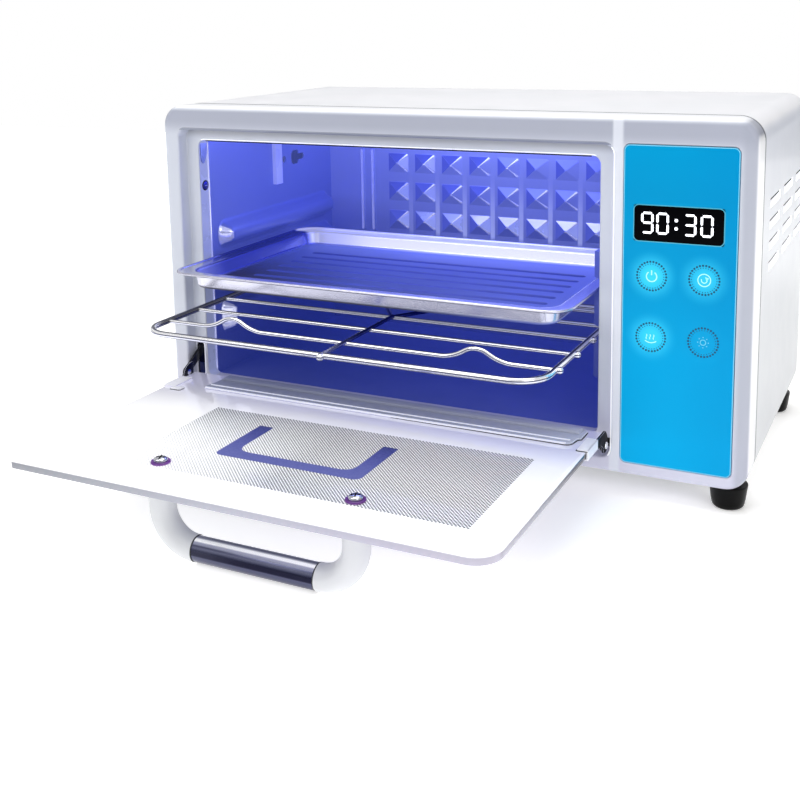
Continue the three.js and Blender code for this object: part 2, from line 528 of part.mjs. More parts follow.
const sideWall = (side) => {
  const wall = side < 0 ? CAVITY.left : CAVITY.right;
  const out = wall + side * CAVITY.sheet;
  const [x0, x1] = [Math.min(wall, out), Math.max(wall, out)];
  const edge = side < 0 ? OPENING.left - OPENING.lip : OPENING.right + OPENING.lip;
  const tabIn = edge + side * JAMB_TAB.hold;
  const tabOut = tabIn + side * CAVITY.sheet;
  let made = box(x0, x1, CAVITY.front, CAVITY.back, CAVITY.floor, CAVITY.roof);
  const [j0, j1] = [Math.min(wall, tabOut), Math.max(wall, tabOut)];
  const [t0, t1] = [Math.min(tabIn, tabOut), Math.max(tabIn, tabOut)];
  made = join(made,
    box(j0, j1, CAVITY.front, CAVITY.front + CAVITY.sheet, JAMB_SCREW.z - JAMB_TAB.half, JAMB_SCREW.z + JAMB_TAB.half),
    box(t0, t1, JAMB_TAB.front, CAVITY.front + CAVITY.sheet, JAMB_SCREW.z - JAMB_TAB.half, JAMB_SCREW.z + JAMB_TAB.half));
  for (const rail of RAILS) {
    const solid = railPress(side, rail);
    made = made.add(solid).subtract(solid.translate([side * CAVITY.sheet * pressShare, 0, 0]));
  }
  made = made.subtract(rodX(t0 - GAP.run, t1 + GAP.run, JAMB_SCREW.y, JAMB_SCREW.z, JAMB_SCREW.shank + GAP.seat));
  if (side < 0) {
    const z = LAMP.z - KEYHOLE.drop;
    const [near, far] = [LAMP.y + KEYHOLE.behind, LAMP.y + KEYHOLE.behind + KEYHOLE.apart];
    made = cut(made, rodX(x0 - GAP.run, x1 + GAP.run, near, z, KEYHOLE.small),
      rodX(x0 - GAP.run, x1 + GAP.run, far, z, KEYHOLE.large),
      box(x0 - GAP.run, x1 + GAP.run, far - KEYHOLE.slotWidth / 2, far + KEYHOLE.slotWidth / 2, z,
        z + KEYHOLE.slotHeight));
  }
  if (side > 0) {
    const holes = [];
    for (let c = 0; c < GRILLE.columns; c += 1) {
      for (let r = 0; r < GRILLE.rows; r += 1) {
        const y = GRILLE.y + (c - (GRILLE.columns - 1) / 2) * GRILLE.step;
        const z = GRILLE.z + (r - (GRILLE.rows - 1) / 2) * GRILLE.step;
        holes.push(rodX(x0 - GAP.run, x1 + GAP.run, y, z, GRILLE.hole, SIDES.few));
      }
    }
    made = cut(made, ...holes);
  }
  return made;
};

const backWall = () => {
  const t = CAVITY.sheet;
  let made = box(WALL_OUT_LEFT, WALL_OUT_RIGHT, CAVITY.back, CAVITY.back + t, CAVITY.floor - t, CAVITY.roof + t);
  const pressed = [];
  const y = CAVITY.back;
  for (let c = 0; c < DIMPLE.columns; c += 1) {
    for (let r = 0; r < DIMPLE.rows; r += 1) {
      const x0 = DIMPLE.left + c * DIMPLE.stepX;
      const x1 = x0 + DIMPLE.width;
      const z0 = DIMPLE.bottom + r * DIMPLE.stepZ;
      const z1 = z0 + DIMPLE.height;
      const [mx, mz, h] = [(x0 + x1) / 2, (z0 + z1) / 2, DIMPLE.tip / 2];
      pressed.push(hull(
        [[x0, y + t / 2, z0], [x1, y + t / 2, z0], [x1, y + t / 2, z1], [x0, y + t / 2, z1]],
        [[mx - h, y - DIMPLE.reach, mz - h], [mx + h, y - DIMPLE.reach, mz - h],
          [mx + h, y - DIMPLE.reach, mz + h], [mx - h, y - DIMPLE.reach, mz + h]]));
    }
  }
  const right = DIMPLE.left + (DIMPLE.columns - 1) * DIMPLE.stepX + DIMPLE.width;
  for (const away of [RIB.outer, RIB.inner]) {
    for (const x of [DIMPLE.left - away, right + away]) {
      const h = RIB.width / 2;
      const k = RIB.edge;
      pressed.push(hull(
        [[x - h, y + t / 2, RIB.bottom], [x + h, y + t / 2, RIB.bottom], [x + h, y + t / 2, RIB.top],
          [x - h, y + t / 2, RIB.top]],
        [[x - h + k, y - RIB.reach, RIB.bottom + k], [x + h - k, y - RIB.reach, RIB.bottom + k],
          [x + h - k, y - RIB.reach, RIB.top - k], [x - h + k, y - RIB.reach, RIB.top - k]]));
    }
  }
  for (const solid of pressed) made = made.add(solid);
  for (const solid of pressed) made = made.subtract(solid.translate([0, t * pressShare, 0]));
  return made;
};

const cavitySheet = (z0, z1) =>
  box(WALL_OUT_LEFT, WALL_OUT_RIGHT, CAVITY.front, CAVITY.back, z0, z1);

// Hinge plates that carry the door
const hingePlate = (side) => {
  const inner = side > 0 ? LUG_RIGHT - HINGE.clearance : LUG_LEFT + HINGE.clearance;
  const other = inner - side * HINGE.earSheet;
  const [x0, x1] = [Math.min(inner, other), Math.max(inner, other)];
  const top = HINGE.z + PLATE_NOTCH.over / 2;
  const bottom = HINGE.z - HINGE.ear;
  const back = RECESS_BACK + HINGE.earSheet;
  const ear = rodX(x0, x1, HINGE.y, HINGE.z, HINGE.ear, SIDES.small);
  const arm = box(x0, x1, HINGE.y, back, bottom, top);
  const foot = side > 0
    ? box(x0, RECESS.right - GAP.seat, RECESS_BACK, back, bottom - PLATE_NOTCH.under, HINGE.z + HINGE.plateRise)
    : box(RECESS.left - GAP.seat, x1, RECESS_BACK, back, RECESS.bottom, top);
  return cut(join(ear, arm, foot), rodX(x0 - GAP.run, x1 + GAP.run, HINGE.y, HINGE.z, HINGE.pin + GAP.film));
};

// Door pieces
const doorGlass = () => {
  const shape = new THREE.Shape();
  const r = GLASS.corner;
  shape.moveTo(GLASS.left, GLASS.back);
  shape.lineTo(GLASS.left, GLASS.front + r);
  shape.absarc(GLASS.left + r, GLASS.front + r, r, Math.PI, Math.PI * 1.5, false);
  shape.lineTo(GLASS.right - r, GLASS.front);
  shape.absarc(GLASS.right - r, GLASS.front + r, r, -Math.PI / 2, 0, false);
  shape.lineTo(GLASS.right, GLASS.back);
  shape.closePath();
  const holes = [HANDLE.left, HANDLE.right].map((x) =>
    rodZ(GLASS_LOW - GAP.over, GLASS_TOP + GAP.over, x, HANDLE.y, HANDLE_SCREW.hole));
  return cut(alongZ(shape, GLASS_LOW, GLASS_TOP, SIDES.sweep), ...holes);
};

const hingeLeaf = () => {
  const z0 = GLASS_TOP + GAP.film;
  const profile = outline([
    [LEAF.front, z0], [LEAF.front, z0 + LEAF.thin], [LEAF.edge, z0 + LEAF.thin],
    [LEAF.edge + LEAF.run, z0 + LEAF.thick], [LEAF.back, z0 + LEAF.thick], [LEAF.back, z0]].reverse());
  const plan = alongZ(
    roundRect(LEAF.left, LEAF.right, LEAF.front, LEAF.back, LEAF.corner), z0 - GAP.over, z0 + GAP.over, SIDES.corner);
  return alongX(profile, LEAF.left - GAP.over, LEAF.right + GAP.over).intersect(plan);
};

const doorClip = (side) => {
  const lug = side > 0 ? LUG_RIGHT : LUG_LEFT;
  const out = lug + side * CLIP.side;
  const inner = lug - side * CLIP.inner;
  const span = (a, b) => [Math.min(a, b), Math.max(a, b)];
  const [s0, s1] = span(lug, out);
  const [p0, p1] = span(inner, out);
  const above = box(p0, p1, CLIP.front, CLIP.back, GLASS_TOP, CLIP_TOP);
  const below = box(p0, p1, CLIP.front, CLIP.back, CLIP_LOW, GLASS_LOW);
  const wall = box(s0, s1, CLIP.front, HINGE.y, CLIP_LOW, CLIP_TOP);
  const lugDisc = rodX(s0, s1, HINGE.y, HINGE.z, HINGE.lug, SIDES.small);
  const web = alongX(outline([
    [HINGE.y - HINGE.lug, HINGE.z], [HINGE.y, HINGE.z], [HINGE.y, GLASS_TOP],
    [HINGE.y - HINGE.lug * 2, GLASS_TOP]]), s0, s1);
  let made = join(above, below, wall, lugDisc, web);
  if (side < 0) {
    const rise = alongX(outline([
      [RIVET.y - RIVET.eye, GLASS_LOW], [RIVET.y + RIVET.eye, GLASS_LOW], [RIVET.y + RIVET.eye, RIVET.z],
      [RIVET.y - RIVET.eye, RIVET.z]]), s0, s1);
    const eye = rodX(s0, s1, RIVET.y, RIVET.z, RIVET.eye, SIDES.small);
    const tab = box(inner - CLIP.sheet, TAB.right, TAB.front, CLIP.front + CLIP.sheet, GLASS_TOP, CLIP_TOP);
    made = join(made, rise, eye, tab)
      .subtract(rodX(s0 - GAP.run, s1 + GAP.run, RIVET.y, RIVET.z, RIVET.shank + GAP.film));
  }
  return made.subtract(rodX(s0 - GAP.run, s1 + GAP.run, HINGE.y, HINGE.z, HINGE.pin + GAP.film));
};

const hingePin = (side) => {
  const lug = side > 0 ? LUG_RIGHT : LUG_LEFT;
  const out = lug + side * (CLIP.side + GAP.film);
  const head = out + side * HINGE.headLength;
  const inner = lug - side * (HINGE.clearance * 2 + HINGE.earSheet);
  const tail = inner - side * HINGE.headLength;
  const span = (a, b) => [Math.min(a, b), Math.max(a, b)];
  return join(rodX(...span(tail, head), HINGE.y, HINGE.z, HINGE.pin, SIDES.small),
    rodX(...span(out, head), HINGE.y, HINGE.z, HINGE.headRadius, SIDES.small),
    rodX(...span(tail, inner), HINGE.y, HINGE.z, HINGE.headRadius, SIDES.small));
};

const linkRivet = () => {
  const inner = LUG_LEFT + GAP.film;
  const outer = LINK.left - GAP.film;
  return join(rodX(outer - RIVET.headLength, inner, RIVET.y, RIVET.z, RIVET.shank, SIDES.small),
    rodX(outer - RIVET.headLength, outer, RIVET.y, RIVET.z, RIVET.head, SIDES.small));
};

// Link arm, drawn along its own length and turned to its resting lean
const linkArm = () => {
  const half = LINK.pin + LINK.play;
  const wide = half + LINK.rim;
  const near = LINK.nearest - half;
  const far = LINK.farthest + half;
  const stadium = (x0, x1, r) => roundRect(x0 - r, x1 + r, -r, r, r * roundShare);
  const lean = THREE.MathUtils.degToRad(LINK.lean);
  const lay = (solid) => solid
    .transform(new THREE.Matrix4().makeTranslation(0, RIVET.y, RIVET.z)
      .multiply(new THREE.Matrix4().makeRotationX(lean)).toArray());
  const neck = lay(alongX(stadium(0, LINK.nearest, LINK.neck), LINK.left, LINK.right, SIDES.corner));
  const eye = lay(alongX(stadium(0, 0, RIVET.eye), LINK.left, LINK.right, SIDES.corner));
  const blade = lay(alongX(stadium(near, far, wide), LINK.left, LINK.right, SIDES.corner));
  const slot = lay(alongX(stadium(near + half / 2, far - half / 2, half), LINK.left - GAP.run, LINK.right + GAP.run, SIDES.corner));
  const bore = rodX(LINK.left - GAP.run, LINK.right + GAP.run, RIVET.y, RIVET.z, RIVET.shank + GAP.film);
  const tailY = RIVET.y + LINK.tail * Math.cos(lean);
  const tailZ = RIVET.z + LINK.tail * Math.sin(lean);
  const tailHalf = LINK.eyeHalf + LINK.eyeRadius;
  const rim = LINK.tailRim;
  const tail = alongX(roundRect(tailY - tailHalf - rim, tailY + tailHalf + rim, tailZ - LINK.eyeRadius - rim,
    tailZ + LINK.eyeRadius + rim, LINK.eyeRadius + rim / 2), LINK.left, LINK.right, SIDES.corner);
  const eyeSlot = alongX(roundRect(tailY - tailHalf, tailY + tailHalf, tailZ - LINK.eyeRadius,
    tailZ + LINK.eyeRadius, LINK.eyeRadius * roundShare), LINK.left - GAP.run, LINK.right + GAP.run, SIDES.corner);
  return cut(join(neck, eye, blade, tail), slot, bore, eyeSlot);
};

const TAIL = () => {
  const lean = THREE.MathUtils.degToRad(LINK.lean);
  return [RIVET.y + LINK.tail * Math.cos(lean), RIVET.z + LINK.tail * Math.sin(lean)];
};

const linkagePlate = () => {
  const right = PLATE.left + PLATE.sheet;
  const sheet = alongX(roundRect(PLATE.front, PLATE.back, PLATE.bottom, PLATE.top, PLATE.corner), PLATE.left, right);
  const web = box(PLATE.left, WALL_OUT_LEFT, PLATE.back - PLATE.sheet, PLATE.back, PLATE.footBottom, PLATE.footTop);
  const foot = box(WALL_OUT_LEFT - PLATE.sheet, WALL_OUT_LEFT, PLATE.back - PLATE.sheet, PLATE.back + PLATE.foot,
    PLATE.footBottom, PLATE.footTop);
  const pinEnd = LINK.right + GAP.run + HINGE.headLength / 2;
  const guide = rodX(right - GAP.film, pinEnd, LINK.guideY, LINK.guideZ, LINK.pin);
  const cap = rodX(LINK.right + GAP.run, pinEnd, LINK.guideY, LINK.guideZ, LINK.pin + LINK.play + LINK.rim / 2);
  const [tailY] = TAIL();
  const studY = tailY + SPRING.shift;
  const stud = rodX(right - GAP.film, LINK.right, studY, SPRING.top, SPRING.stud);
  return join(sheet, web, foot, guide, cap, stud);
};

const linkSpring = () => {
  const [tailY, tailZ] = TAIL();
  const y = tailY + SPRING.shift;
  const x = (LINK.left + LINK.right) / 2;
  const low = tailZ + SPRING.hookDrop;
  const high = SPRING.top - SPRING.hookDrop;
  const route = [];
  const loop = (z, from, to, radius, count) => {
    for (let i = 0; i <= count; i += 1) {
      const a = from + ((to - from) * i) / count;
      route.push(at(x + radius * Math.cos(a), y, z + radius * Math.sin(a)));
    }
  };
  const ring = (LINK.tailRim + SPRING.wire * 3) / 2 + GAP.clip;
  const rimMiddle = tailZ + LINK.eyeRadius + LINK.tailRim / 2;
  loop(rimMiddle, Math.PI / 3, -Math.PI * 1.4, ring, SPRING.hookSteps);
  const total = SPRING.turns * SPRING.steps;
  for (let i = 0; i <= total; i += 1) {
    const a = (i / SPRING.steps) * Math.PI * 2 + Math.PI;
    route.push(at(x + SPRING.coil * Math.cos(a), y + SPRING.coil * Math.sin(a), low + ((high - low) * i) / total));
  }
  const eye = SPRING.stud + SPRING.wire + GAP.clip;
  const eyeX = x - SPRING.wire * 2;
  for (let i = 0; i <= SPRING.hookSteps; i += 1) {
    const a = -Math.PI * 0.4 + (Math.PI * 1.65 * i) / SPRING.hookSteps;
    route.push(at(eyeX, y + eye * Math.cos(a), SPRING.top + eye * Math.sin(a)));
  }
  return wire(route, SPRING.wire, route.length, SPRING.sides);
};

// Tray and rack
const tray = () => {
  const { width, front, length, rim, lip, sheet, depth, corner, cornerStep, edge } = TRAY;
  const [x0, x1, y0, y1] = [CAVITY_MIDDLE - width / 2, CAVITY_MIDDLE + width / 2, front, front + length];
  const flange = alongZ(roundRect(x0, x1, y0, y1, corner), rim, rim + sheet, SIDES.corner);
  const curl = alongZ(roundRect(x0, x1, y0, y1, corner), rim, rim + edge, SIDES.corner)
    .subtract(alongZ(roundRect(x0 + edge, x1 - edge, y0 + edge, y1 - edge, corner - edge), rim - GAP.over,
      rim + GAP.over, SIDES.corner));
  const pan = (inset, low, high) => alongZ(
    roundRect(x0 + inset, x1 - inset, y0 + inset, y1 - inset, corner - cornerStep), low, high, SIDES.corner);
  const bowl = pan(lip, rim - depth, rim + sheet);
  const hollow = pan(lip + sheet, rim - depth + sheet, rim + GAP.over);
  let made = join(flange, curl, bowl).subtract(hollow);
  for (let i = 0; i < TRAY_RIB.count; i += 1) {
    const y = front + TRAY_RIB.first + i * TRAY_RIB.step;
    const rib = box(x0 + lip + TRAY_RIB.side, x1 - lip - TRAY_RIB.side, y, y + TRAY_RIB.width,
      rim - depth + sheet / 2, rim - depth + sheet + TRAY_RIB.height);
    made = made.add(rib).subtract(rib.translate([0, 0, -sheet * roundShare]));
  }
  return made;
};

const ball = (x, y, z, r) => solidOf(new THREE.SphereGeometry(r, SIDES.wire, SIDES.ball).translate(x, y, z));

const rack = () => {
  const { width, front, length, z, wire: r, cross, corner } = RACK;
  const centre = CAVITY_MIDDLE;
  const inset = r;
  const [x0, x1, y0, y1] = [centre - width / 2 + inset, centre + width / 2 - inset, front + inset, front + length - inset];
  const loop = [];
  const arc = (cx, cy, from) => {
    for (let i = 0; i <= SIDES.corner; i += 1) {
      const a = from + (Math.PI / 2) * (i / SIDES.corner);
      loop.push([cx + (corner - r) * Math.cos(a), cy + (corner - r) * Math.sin(a)]);
    }
  };
  const k = corner - r;
  arc(x1 - k, y0 + k, -Math.PI / 2);
  arc(x1 - k, y1 - k, 0);
  arc(x0 + k, y1 - k, Math.PI / 2);
  arc(x0 + k, y0 + k, Math.PI);
  let made = sweptRing(loop, z, r, SIDES.wire);
  const seatZ = z;
  for (let i = 0; i < BAR.count; i += 1) {
    const y = front + BAR.first + i * BAR.step;
    const past = BAR.past;
    const right = x1 + past;
    const left = x0 - past / 2;
    const humps = i === 0 ? [HUMP.left, HUMP.right] : [];
    const points = [at(left, y, seatZ)];
    for (const hx of humps) {
      for (let k = 0; k <= HUMP.steps; k += 1) {
        const along = (k / HUMP.steps) * 2 - 1;
        const lift = (1 + Math.cos(along * Math.PI)) / 2;
        points.push(at(hx + along * HUMP.half, y, seatZ + HUMP.rise * lift));
      }
    }
    points.push(at(right, y, seatZ));
    made = made.add(bentRod(points, cross, SIDES.wire)).add(ball(right, y, seatZ, RACK.endBall));
  }
  const stemTop = front + BAR.first + BAR.step;
  const stem = bentRod([at(centre, front - WYE.past, seatZ), at(centre, stemTop, seatZ)], cross, SIDES.wire);
  const arms = [-1, 1].map((side) => bentRod(
    [at(centre, stemTop - cross, seatZ), at(centre + side * WYE.spread, stemTop + BAR.step, seatZ)], cross, SIDES.wire));
  return join(made, stem, ...arms, ball(centre, front - WYE.past, seatZ, RACK.ball));
};

// A closed round-section ring through a flat loop of points
const sweptRing = (loop, z, r, sides) => {
  const places = [];
  const order = [];
  const n = loop.length;
  for (let i = 0; i < n; i += 1) {
    const [px, py] = loop[(i + n - 1) % n];
    const [cx, cy] = loop[i];
    const [nx, ny] = loop[(i + 1) % n];
    const tangent = new THREE.Vector2(nx - px, ny - py).normalize();
    const out = new THREE.Vector2(tangent.y, -tangent.x);
    for (let s = 0; s < sides; s += 1) {
      const a = (s / sides) * Math.PI * 2;
      places.push(cx + out.x * r * Math.cos(a), cy + out.y * r * Math.cos(a), z + r * Math.sin(a));
    }
  }
  for (let i = 0; i < n; i += 1) {
    const j = (i + 1) % n;
    for (let s = 0; s < sides; s += 1) {
      const t = (s + 1) % sides;
      order.push(i * sides + s, j * sides + s, j * sides + t, i * sides + s, j * sides + t, i * sides + t);
    }
  }
  const geometry = new THREE.BufferGeometry();
  geometry.setAttribute("position", new THREE.Float32BufferAttribute(places, 3));
  geometry.setIndex(order);
  const made = solidOf(geometry);
  return made.volume() > 0 ? made : solidOf(flipped(geometry));
};

// A round bar through a few points, its section kept square to each joint
const bentRod = (points, r, sides) => {
  const places = [];
  const order = [];
  const n = points.length;
  const up = new THREE.Vector3();
  for (let i = 0; i < n; i += 1) {
    const before = points[Math.max(i - 1, 0)];
    const after = points[Math.min(i + 1, n - 1)];
    const tangent = after.clone().sub(before).normalize();
    up.set(0, 0, 1);
    const across = new THREE.Vector3().crossVectors(tangent, up).normalize();
    const rise = new THREE.Vector3().crossVectors(across, tangent).normalize();
    for (let s = 0; s < sides; s += 1) {
      const a = (s / sides) * Math.PI * 2;
      const p = points[i].clone().addScaledVector(across, r * Math.cos(a)).addScaledVector(rise, r * Math.sin(a));
      places.push(p.x, p.y, p.z);
    }
  }
  for (let i = 0; i < n - 1; i += 1) {
    for (let s = 0; s < sides; s += 1) {
      const t = (s + 1) % sides;
      order.push(i * sides + s, (i + 1) * sides + s, (i + 1) * sides + t);
      order.push(i * sides + s, (i + 1) * sides + t, i * sides + t);
    }
  }
  for (let s = 1; s < sides - 1; s += 1) {
    const e = (n - 1) * sides;
    order.push(0, s, s + 1, e, e + s + 1, e + s);
  }
  const geometry = new THREE.BufferGeometry();
  geometry.setAttribute("position", new THREE.Float32BufferAttribute(places, 3));
  geometry.setIndex(order);
  const made = solidOf(geometry);
  return made.volume() > 0 ? made : solidOf(flipped(geometry));
};

// Lamp and holders
const lampTube = () => {
  const half = LAMP.length / 2;
  const x0 = LAMP.x - half;
  const x1 = LAMP.x + half;
  const pin = (x, side, dz) => rodX(Math.min(x, x + side * LAMP.pinLength), Math.max(x, x + side * LAMP.pinLength),
    LAMP.y, LAMP.z + dz, LAMP.pin, SIDES.wire);
  return join(rodX(x0, x1, LAMP.y, LAMP.z, LAMP.radius, SIDES.round),
    rodX(x0, x0 + LAMP.cap, LAMP.y, LAMP.z, LAMP.capRadius, SIDES.round),
    rodX(x1 - LAMP.cap, x1, LAMP.y, LAMP.z, LAMP.capRadius, SIDES.round),
    pin(x0, -1, LAMP.pinApart / 2), pin(x0, -1, -LAMP.pinApart / 2), pin(x1, 1, LAMP.pinApart / 2),
    pin(x1, 1, -LAMP.pinApart / 2));
};

const lampHolder = (side) => {
  const wall = side < 0 ? CAVITY.left : CAVITY.right;
  const span = (a, b) => [Math.min(a, b), Math.max(a, b)];
  const [b0, b1] = span(wall, wall - side * HOLDER.bar);
  const end = LAMP.x + side * (LAMP.length / 2 + GAP.seat);
  const lipEnd = end - side * HOLDER.depth;
  const [s0, s1] = span(wall, lipEnd);
  const [m0, m1] = span(end, lipEnd - side * GAP.over);
  const bar = box(b0, b1, HOLDER.front, HOLDER.back, HOLDER.bottom, LAMP.z);
  const socket = rodX(s0, s1, LAMP.y, LAMP.z, HOLDER.socket, SIDES.round);
  const mouth = rodX(m0, m1, LAMP.y, LAMP.z, LAMP.capRadius + GAP.seat, SIDES.round);
  const [h0, h1] = span(end - side * GAP.over, end + side * (LAMP.pinLength + GAP.run));
  const pins = [1, -1].map((k) => rodX(h0, h1, LAMP.y, LAMP.z + (k * LAMP.pinApart) / 2, LAMP.pin + GAP.seat, SIDES.wire));
  return cut(join(bar, socket), mouth, ...pins);
};

// Control side
const controlPanel = () => {
  const plate = alongY(roundRect(PANEL.left, PANEL.right, PANEL.bottom, PANEL.top, PANEL.corner), 0, PANEL.thick);
  const seat = GAP.seat;
  const pocket = alongY(
    roundRect(DISPLAY.left - seat, DISPLAY.right + seat, DISPLAY.bottom - seat, DISPLAY.top + seat, DISPLAY.corner),
    -GAP.over, DISPLAY.thick);
  const through = alongY(
    roundRect(DISPLAY.left + DISPLAY.ledge, DISPLAY.right - DISPLAY.ledge, DISPLAY.bottom + DISPLAY.ledge,
      DISPLAY.top - DISPLAY.ledge, DISPLAY.corner), -GAP.over, PANEL.thick + GAP.over);
  return cut(plate, pocket, through);
};

const displayLens = () => alongY(
  roundRect(DISPLAY.left, DISPLAY.right, DISPLAY.bottom, DISPLAY.top, DISPLAY.corner), 0, DISPLAY.thick);

const displayModule = () => {
  const i = MODULE.inset;
  return box(DISPLAY.left + i, DISPLAY.right - i, BOARD.front - MODULE.thick, BOARD.front, DISPLAY.bottom + i,
    DISPLAY.top - i);
};

const touchBoard = () => {
  const left = PANEL.left + PANEL.ledge + BOARD.inset;
  const right = PANEL.right - PANEL.ledge - BOARD.inset;
  const board = box(left, right, BOARD.front, BOARD.front + BOARD.thick, BOARD.bottom, BOARD.top);
  const pillars = [BOARD.bottom + BOARD.inset, BOARD.top - BOARD.inset].flatMap((z) =>
    [left + BOARD.inset, right - BOARD.inset].map((x) => rodY(PANEL.thick, BOARD.front, x, z, BOARD.pillar)));
  return join(board, ...pillars);
};

const touchPad = (x, z) => {
  const back = BOARD.front;
  return join(rodY(PANEL.thick, PANEL.thick + KEYS.pad, x, z, KEYS.radius, SIDES.round),
    rodY(PANEL.thick, back, x, z, KEYS.post, SIDES.small));
};

const powerBoard = () => {
  const { x, thick, front, back, bottom, top, rise } = POWER;
  const board = box(x, x + thick, front, back, bottom, top);
  const q = POWER_PARTS;
  const y0 = front + q.coilWidth / 2;
  const coil = box(x - q.coilRise, x, y0, y0 + q.coilLength, bottom + q.coilWidth, bottom + q.coilWidth * 2);
  const cap = rodX(x - q.capRise, x, back - q.coilLength, bottom + q.coilWidth, q.capRadius, SIDES.round);
  const sink = box(x - q.sink / 2, x, back - q.sink, back - q.sink / 2, top - q.sink, top - rise);
  const brackets = [front, back - q.capRadius].map((y) =>
    box(x, x + thick + rise, y, y + q.capRadius, POWER.foot, bottom + rise));
  return join(board, coil, cap, sink, ...brackets);
};

const lampBallast = () => {
  const { gap, thick, front, back, bottom, top, flange, plate } = BALLAST;
  const x0 = WALL_OUT_RIGHT + gap;
  return join(box(x0, x0 + thick, front, back, bottom, top),
    box(x0, x0 + plate, front - flange, back + flange, bottom, top));
};

const fanX = () => WALL_OUT_RIGHT + GAP.seat + HEATER.thick + GAP.seat;

const ptcHeater = () => {
  const { thick, size, rim, fins } = HEATER;
  const x0 = WALL_OUT_RIGHT + GAP.seat;
  const [cy, cz] = [GRILLE.y, GRILLE.z - GRILLE.drop];
  const h = size / 2;
  const frame = box(x0, x0 + thick, cy - h, cy + h, cz - h, cz + h);
  const inner = size - rim * 2;
  const pitch = inner / fins;
  const slots = [];
  for (let i = 0; i < fins; i += 1) {
    const z = cz - inner / 2 + i * pitch + rim / 4;
    slots.push(box(x0 - GAP.over, x0 + thick + GAP.over, cy - inner / 2, cy + inner / 2, z, z + pitch - rim / 2));
  }
  return cut(frame, ...slots);
};

const fanFrame = () => {
  const { size, thick, bore, hub, web, spokes, spoke } = FAN;
  const x0 = fanX();
  const [cy, cz] = [GRILLE.y, GRILLE.z - GRILLE.drop];
  const h = size / 2;
  const body = alongX(roundRect(cy - h, cy + h, cz - h, cz + h, spoke), x0, x0 + thick)
    .subtract(rodX(x0 - GAP.over, x0 + thick + GAP.over, cy, cz, bore, SIDES.round));
  const back = x0 + thick;
  const arms = [];
  for (let i = 0; i < spokes; i += 1) {
    const a = (i / spokes) * FULL_TURN + FAN.bladeAngle;
    const arm = box(back - web, back, -spoke / 2, spoke / 2, 0, bore + spoke / 2);
    arms.push(arm.rotate([a, 0, 0]).translate([0, cy, cz]));
  }
  const hubDisc = rodX(back - web, back, cy, cz, hub, SIDES.round);
  const axle = rodX(back - thick / 2, back, cy, cz, web, SIDES.small);
  return join(body, hubDisc, axle, ...arms);
};

const fanRotor = () => {
  const { thick, hub, blade, blades, web, bladeThick, bladeAngle } = FAN;
  const x0 = fanX() + web / 2;
  const x1 = fanX() + thick - web - GAP.run;
  const [cy, cz] = [GRILLE.y, GRILLE.z - GRILLE.drop];
  const body = rodX(x0, x1, cy, cz, hub, SIDES.round)
    .subtract(rodX(fanX() + thick / 2 - GAP.run * 2, x1 + GAP.over, cy, cz, web + GAP.seat, SIDES.small));
  const mid = (x0 + x1) / 2;
  const chord = (x1 - x0) * bladeShare;
  const fins = [];
  for (let i = 0; i < blades; i += 1) {
    const fin = box(-chord, chord, -bladeThick / 2, bladeThick / 2, hub - web, blade)
      .rotate([0, 0, bladeAngle]);
    fins.push(fin.rotate([(i / blades) * FULL_TURN, 0, 0]).translate([mid, cy, cz]));
  }
  return join(body, ...fins);
};

const thermalCutout = () => {
  const { y, z, radius, cap, flange, wing, wingHalf, tab } = CUTOUT;
  const x0 = WALL_OUT_RIGHT;
  return join(rodX(x0, x0 + cap, y, z, radius, SIDES.round),
    box(x0, x0 + flange, y - wing, y + wing, z - wingHalf, z + wingHalf),
    box(x0 + cap, x0 + cap + tab, y - tab - flange, y - tab + flange, z - tab, z + tab),
    box(x0 + cap, x0 + cap + tab, y + tab - flange, y + tab + flange, z - tab, z + tab));
};

const mainsInlet = () => {
  const { x, z, width, height, depth, wall, floor, blades, apart } = INLET;
  const [w, h] = [width / 2, height / 2];
  const body = box(x - w, x + w, BODY.depth - depth, BODY.depth, z - h, z + h);
  const well = box(x - w + wall, x + w - wall, BODY.depth - depth + floor, BODY.depth + GAP.over, z - h + wall,
    z + h - wall);
  const pins = [-1, 1].map((k) =>
    rodY(BODY.depth - depth + wall, BODY.depth - wall, x + k * apart, z, blades, SIDES.wire));
  return join(cut(body, well), ...pins);
};

// Feet
const foot = (x, y) => {
  const { top, bottom, height, bore, floor, hole } = FOOT;
  const body = solidOf(new THREE.CylinderGeometry(top, bottom, height, SIDES.round).rotateX(Math.PI / 2)
    .translate(x, y, -height / 2));
  return cut(body, rodZ(-height - GAP.over, -floor, x, y, bore), rodZ(-height, GAP.over, x, y, hole));
};

const footScrew = (x, y) => {
  const { head, headLength, shank, tip } = FOOT_SCREW;
  return join(rodZ(-FOOT.floor - headLength, -FOOT.floor, x, y, head), rodZ(-FOOT.floor, tip, x, y, shank));
};

// Handle
const elbow = (side) => {
  const x = side < 0 ? HANDLE.left : HANDLE.right;
  const r = HANDLE.curve;
  const turn = HANDLE.z + r;
  const sides = 16;
  const rings = [];
  rings.push([x, GLASS_LOW]);
  for (let i = 0; i <= SIDES.sweep; i += 1) {
    const a = (Math.PI / 2) * (i / SIDES.sweep);
    rings.push([x - side * (r - r * Math.cos(a)), turn - r * Math.sin(a)]);
  }
  const points = rings.map(([px, pz]) => at(px, HANDLE.y, pz));
  const body = bentTube(points, HANDLE.elbow, sides, side);
  const end = x - side * r;
  const [b0, b1] = side > 0 ? [end - GAP.over, end + HANDLE.spigotLength] : [end - HANDLE.spigotLength, end + GAP.over];
  return cut(body, rodX(b0, b1, HANDLE.y, HANDLE.z, HANDLE.socket),
    rodZ(GLASS_LOW - HANDLE_SCREW.length, GLASS_LOW + GAP.over, x, HANDLE.y, HANDLE_SCREW.bore));
};

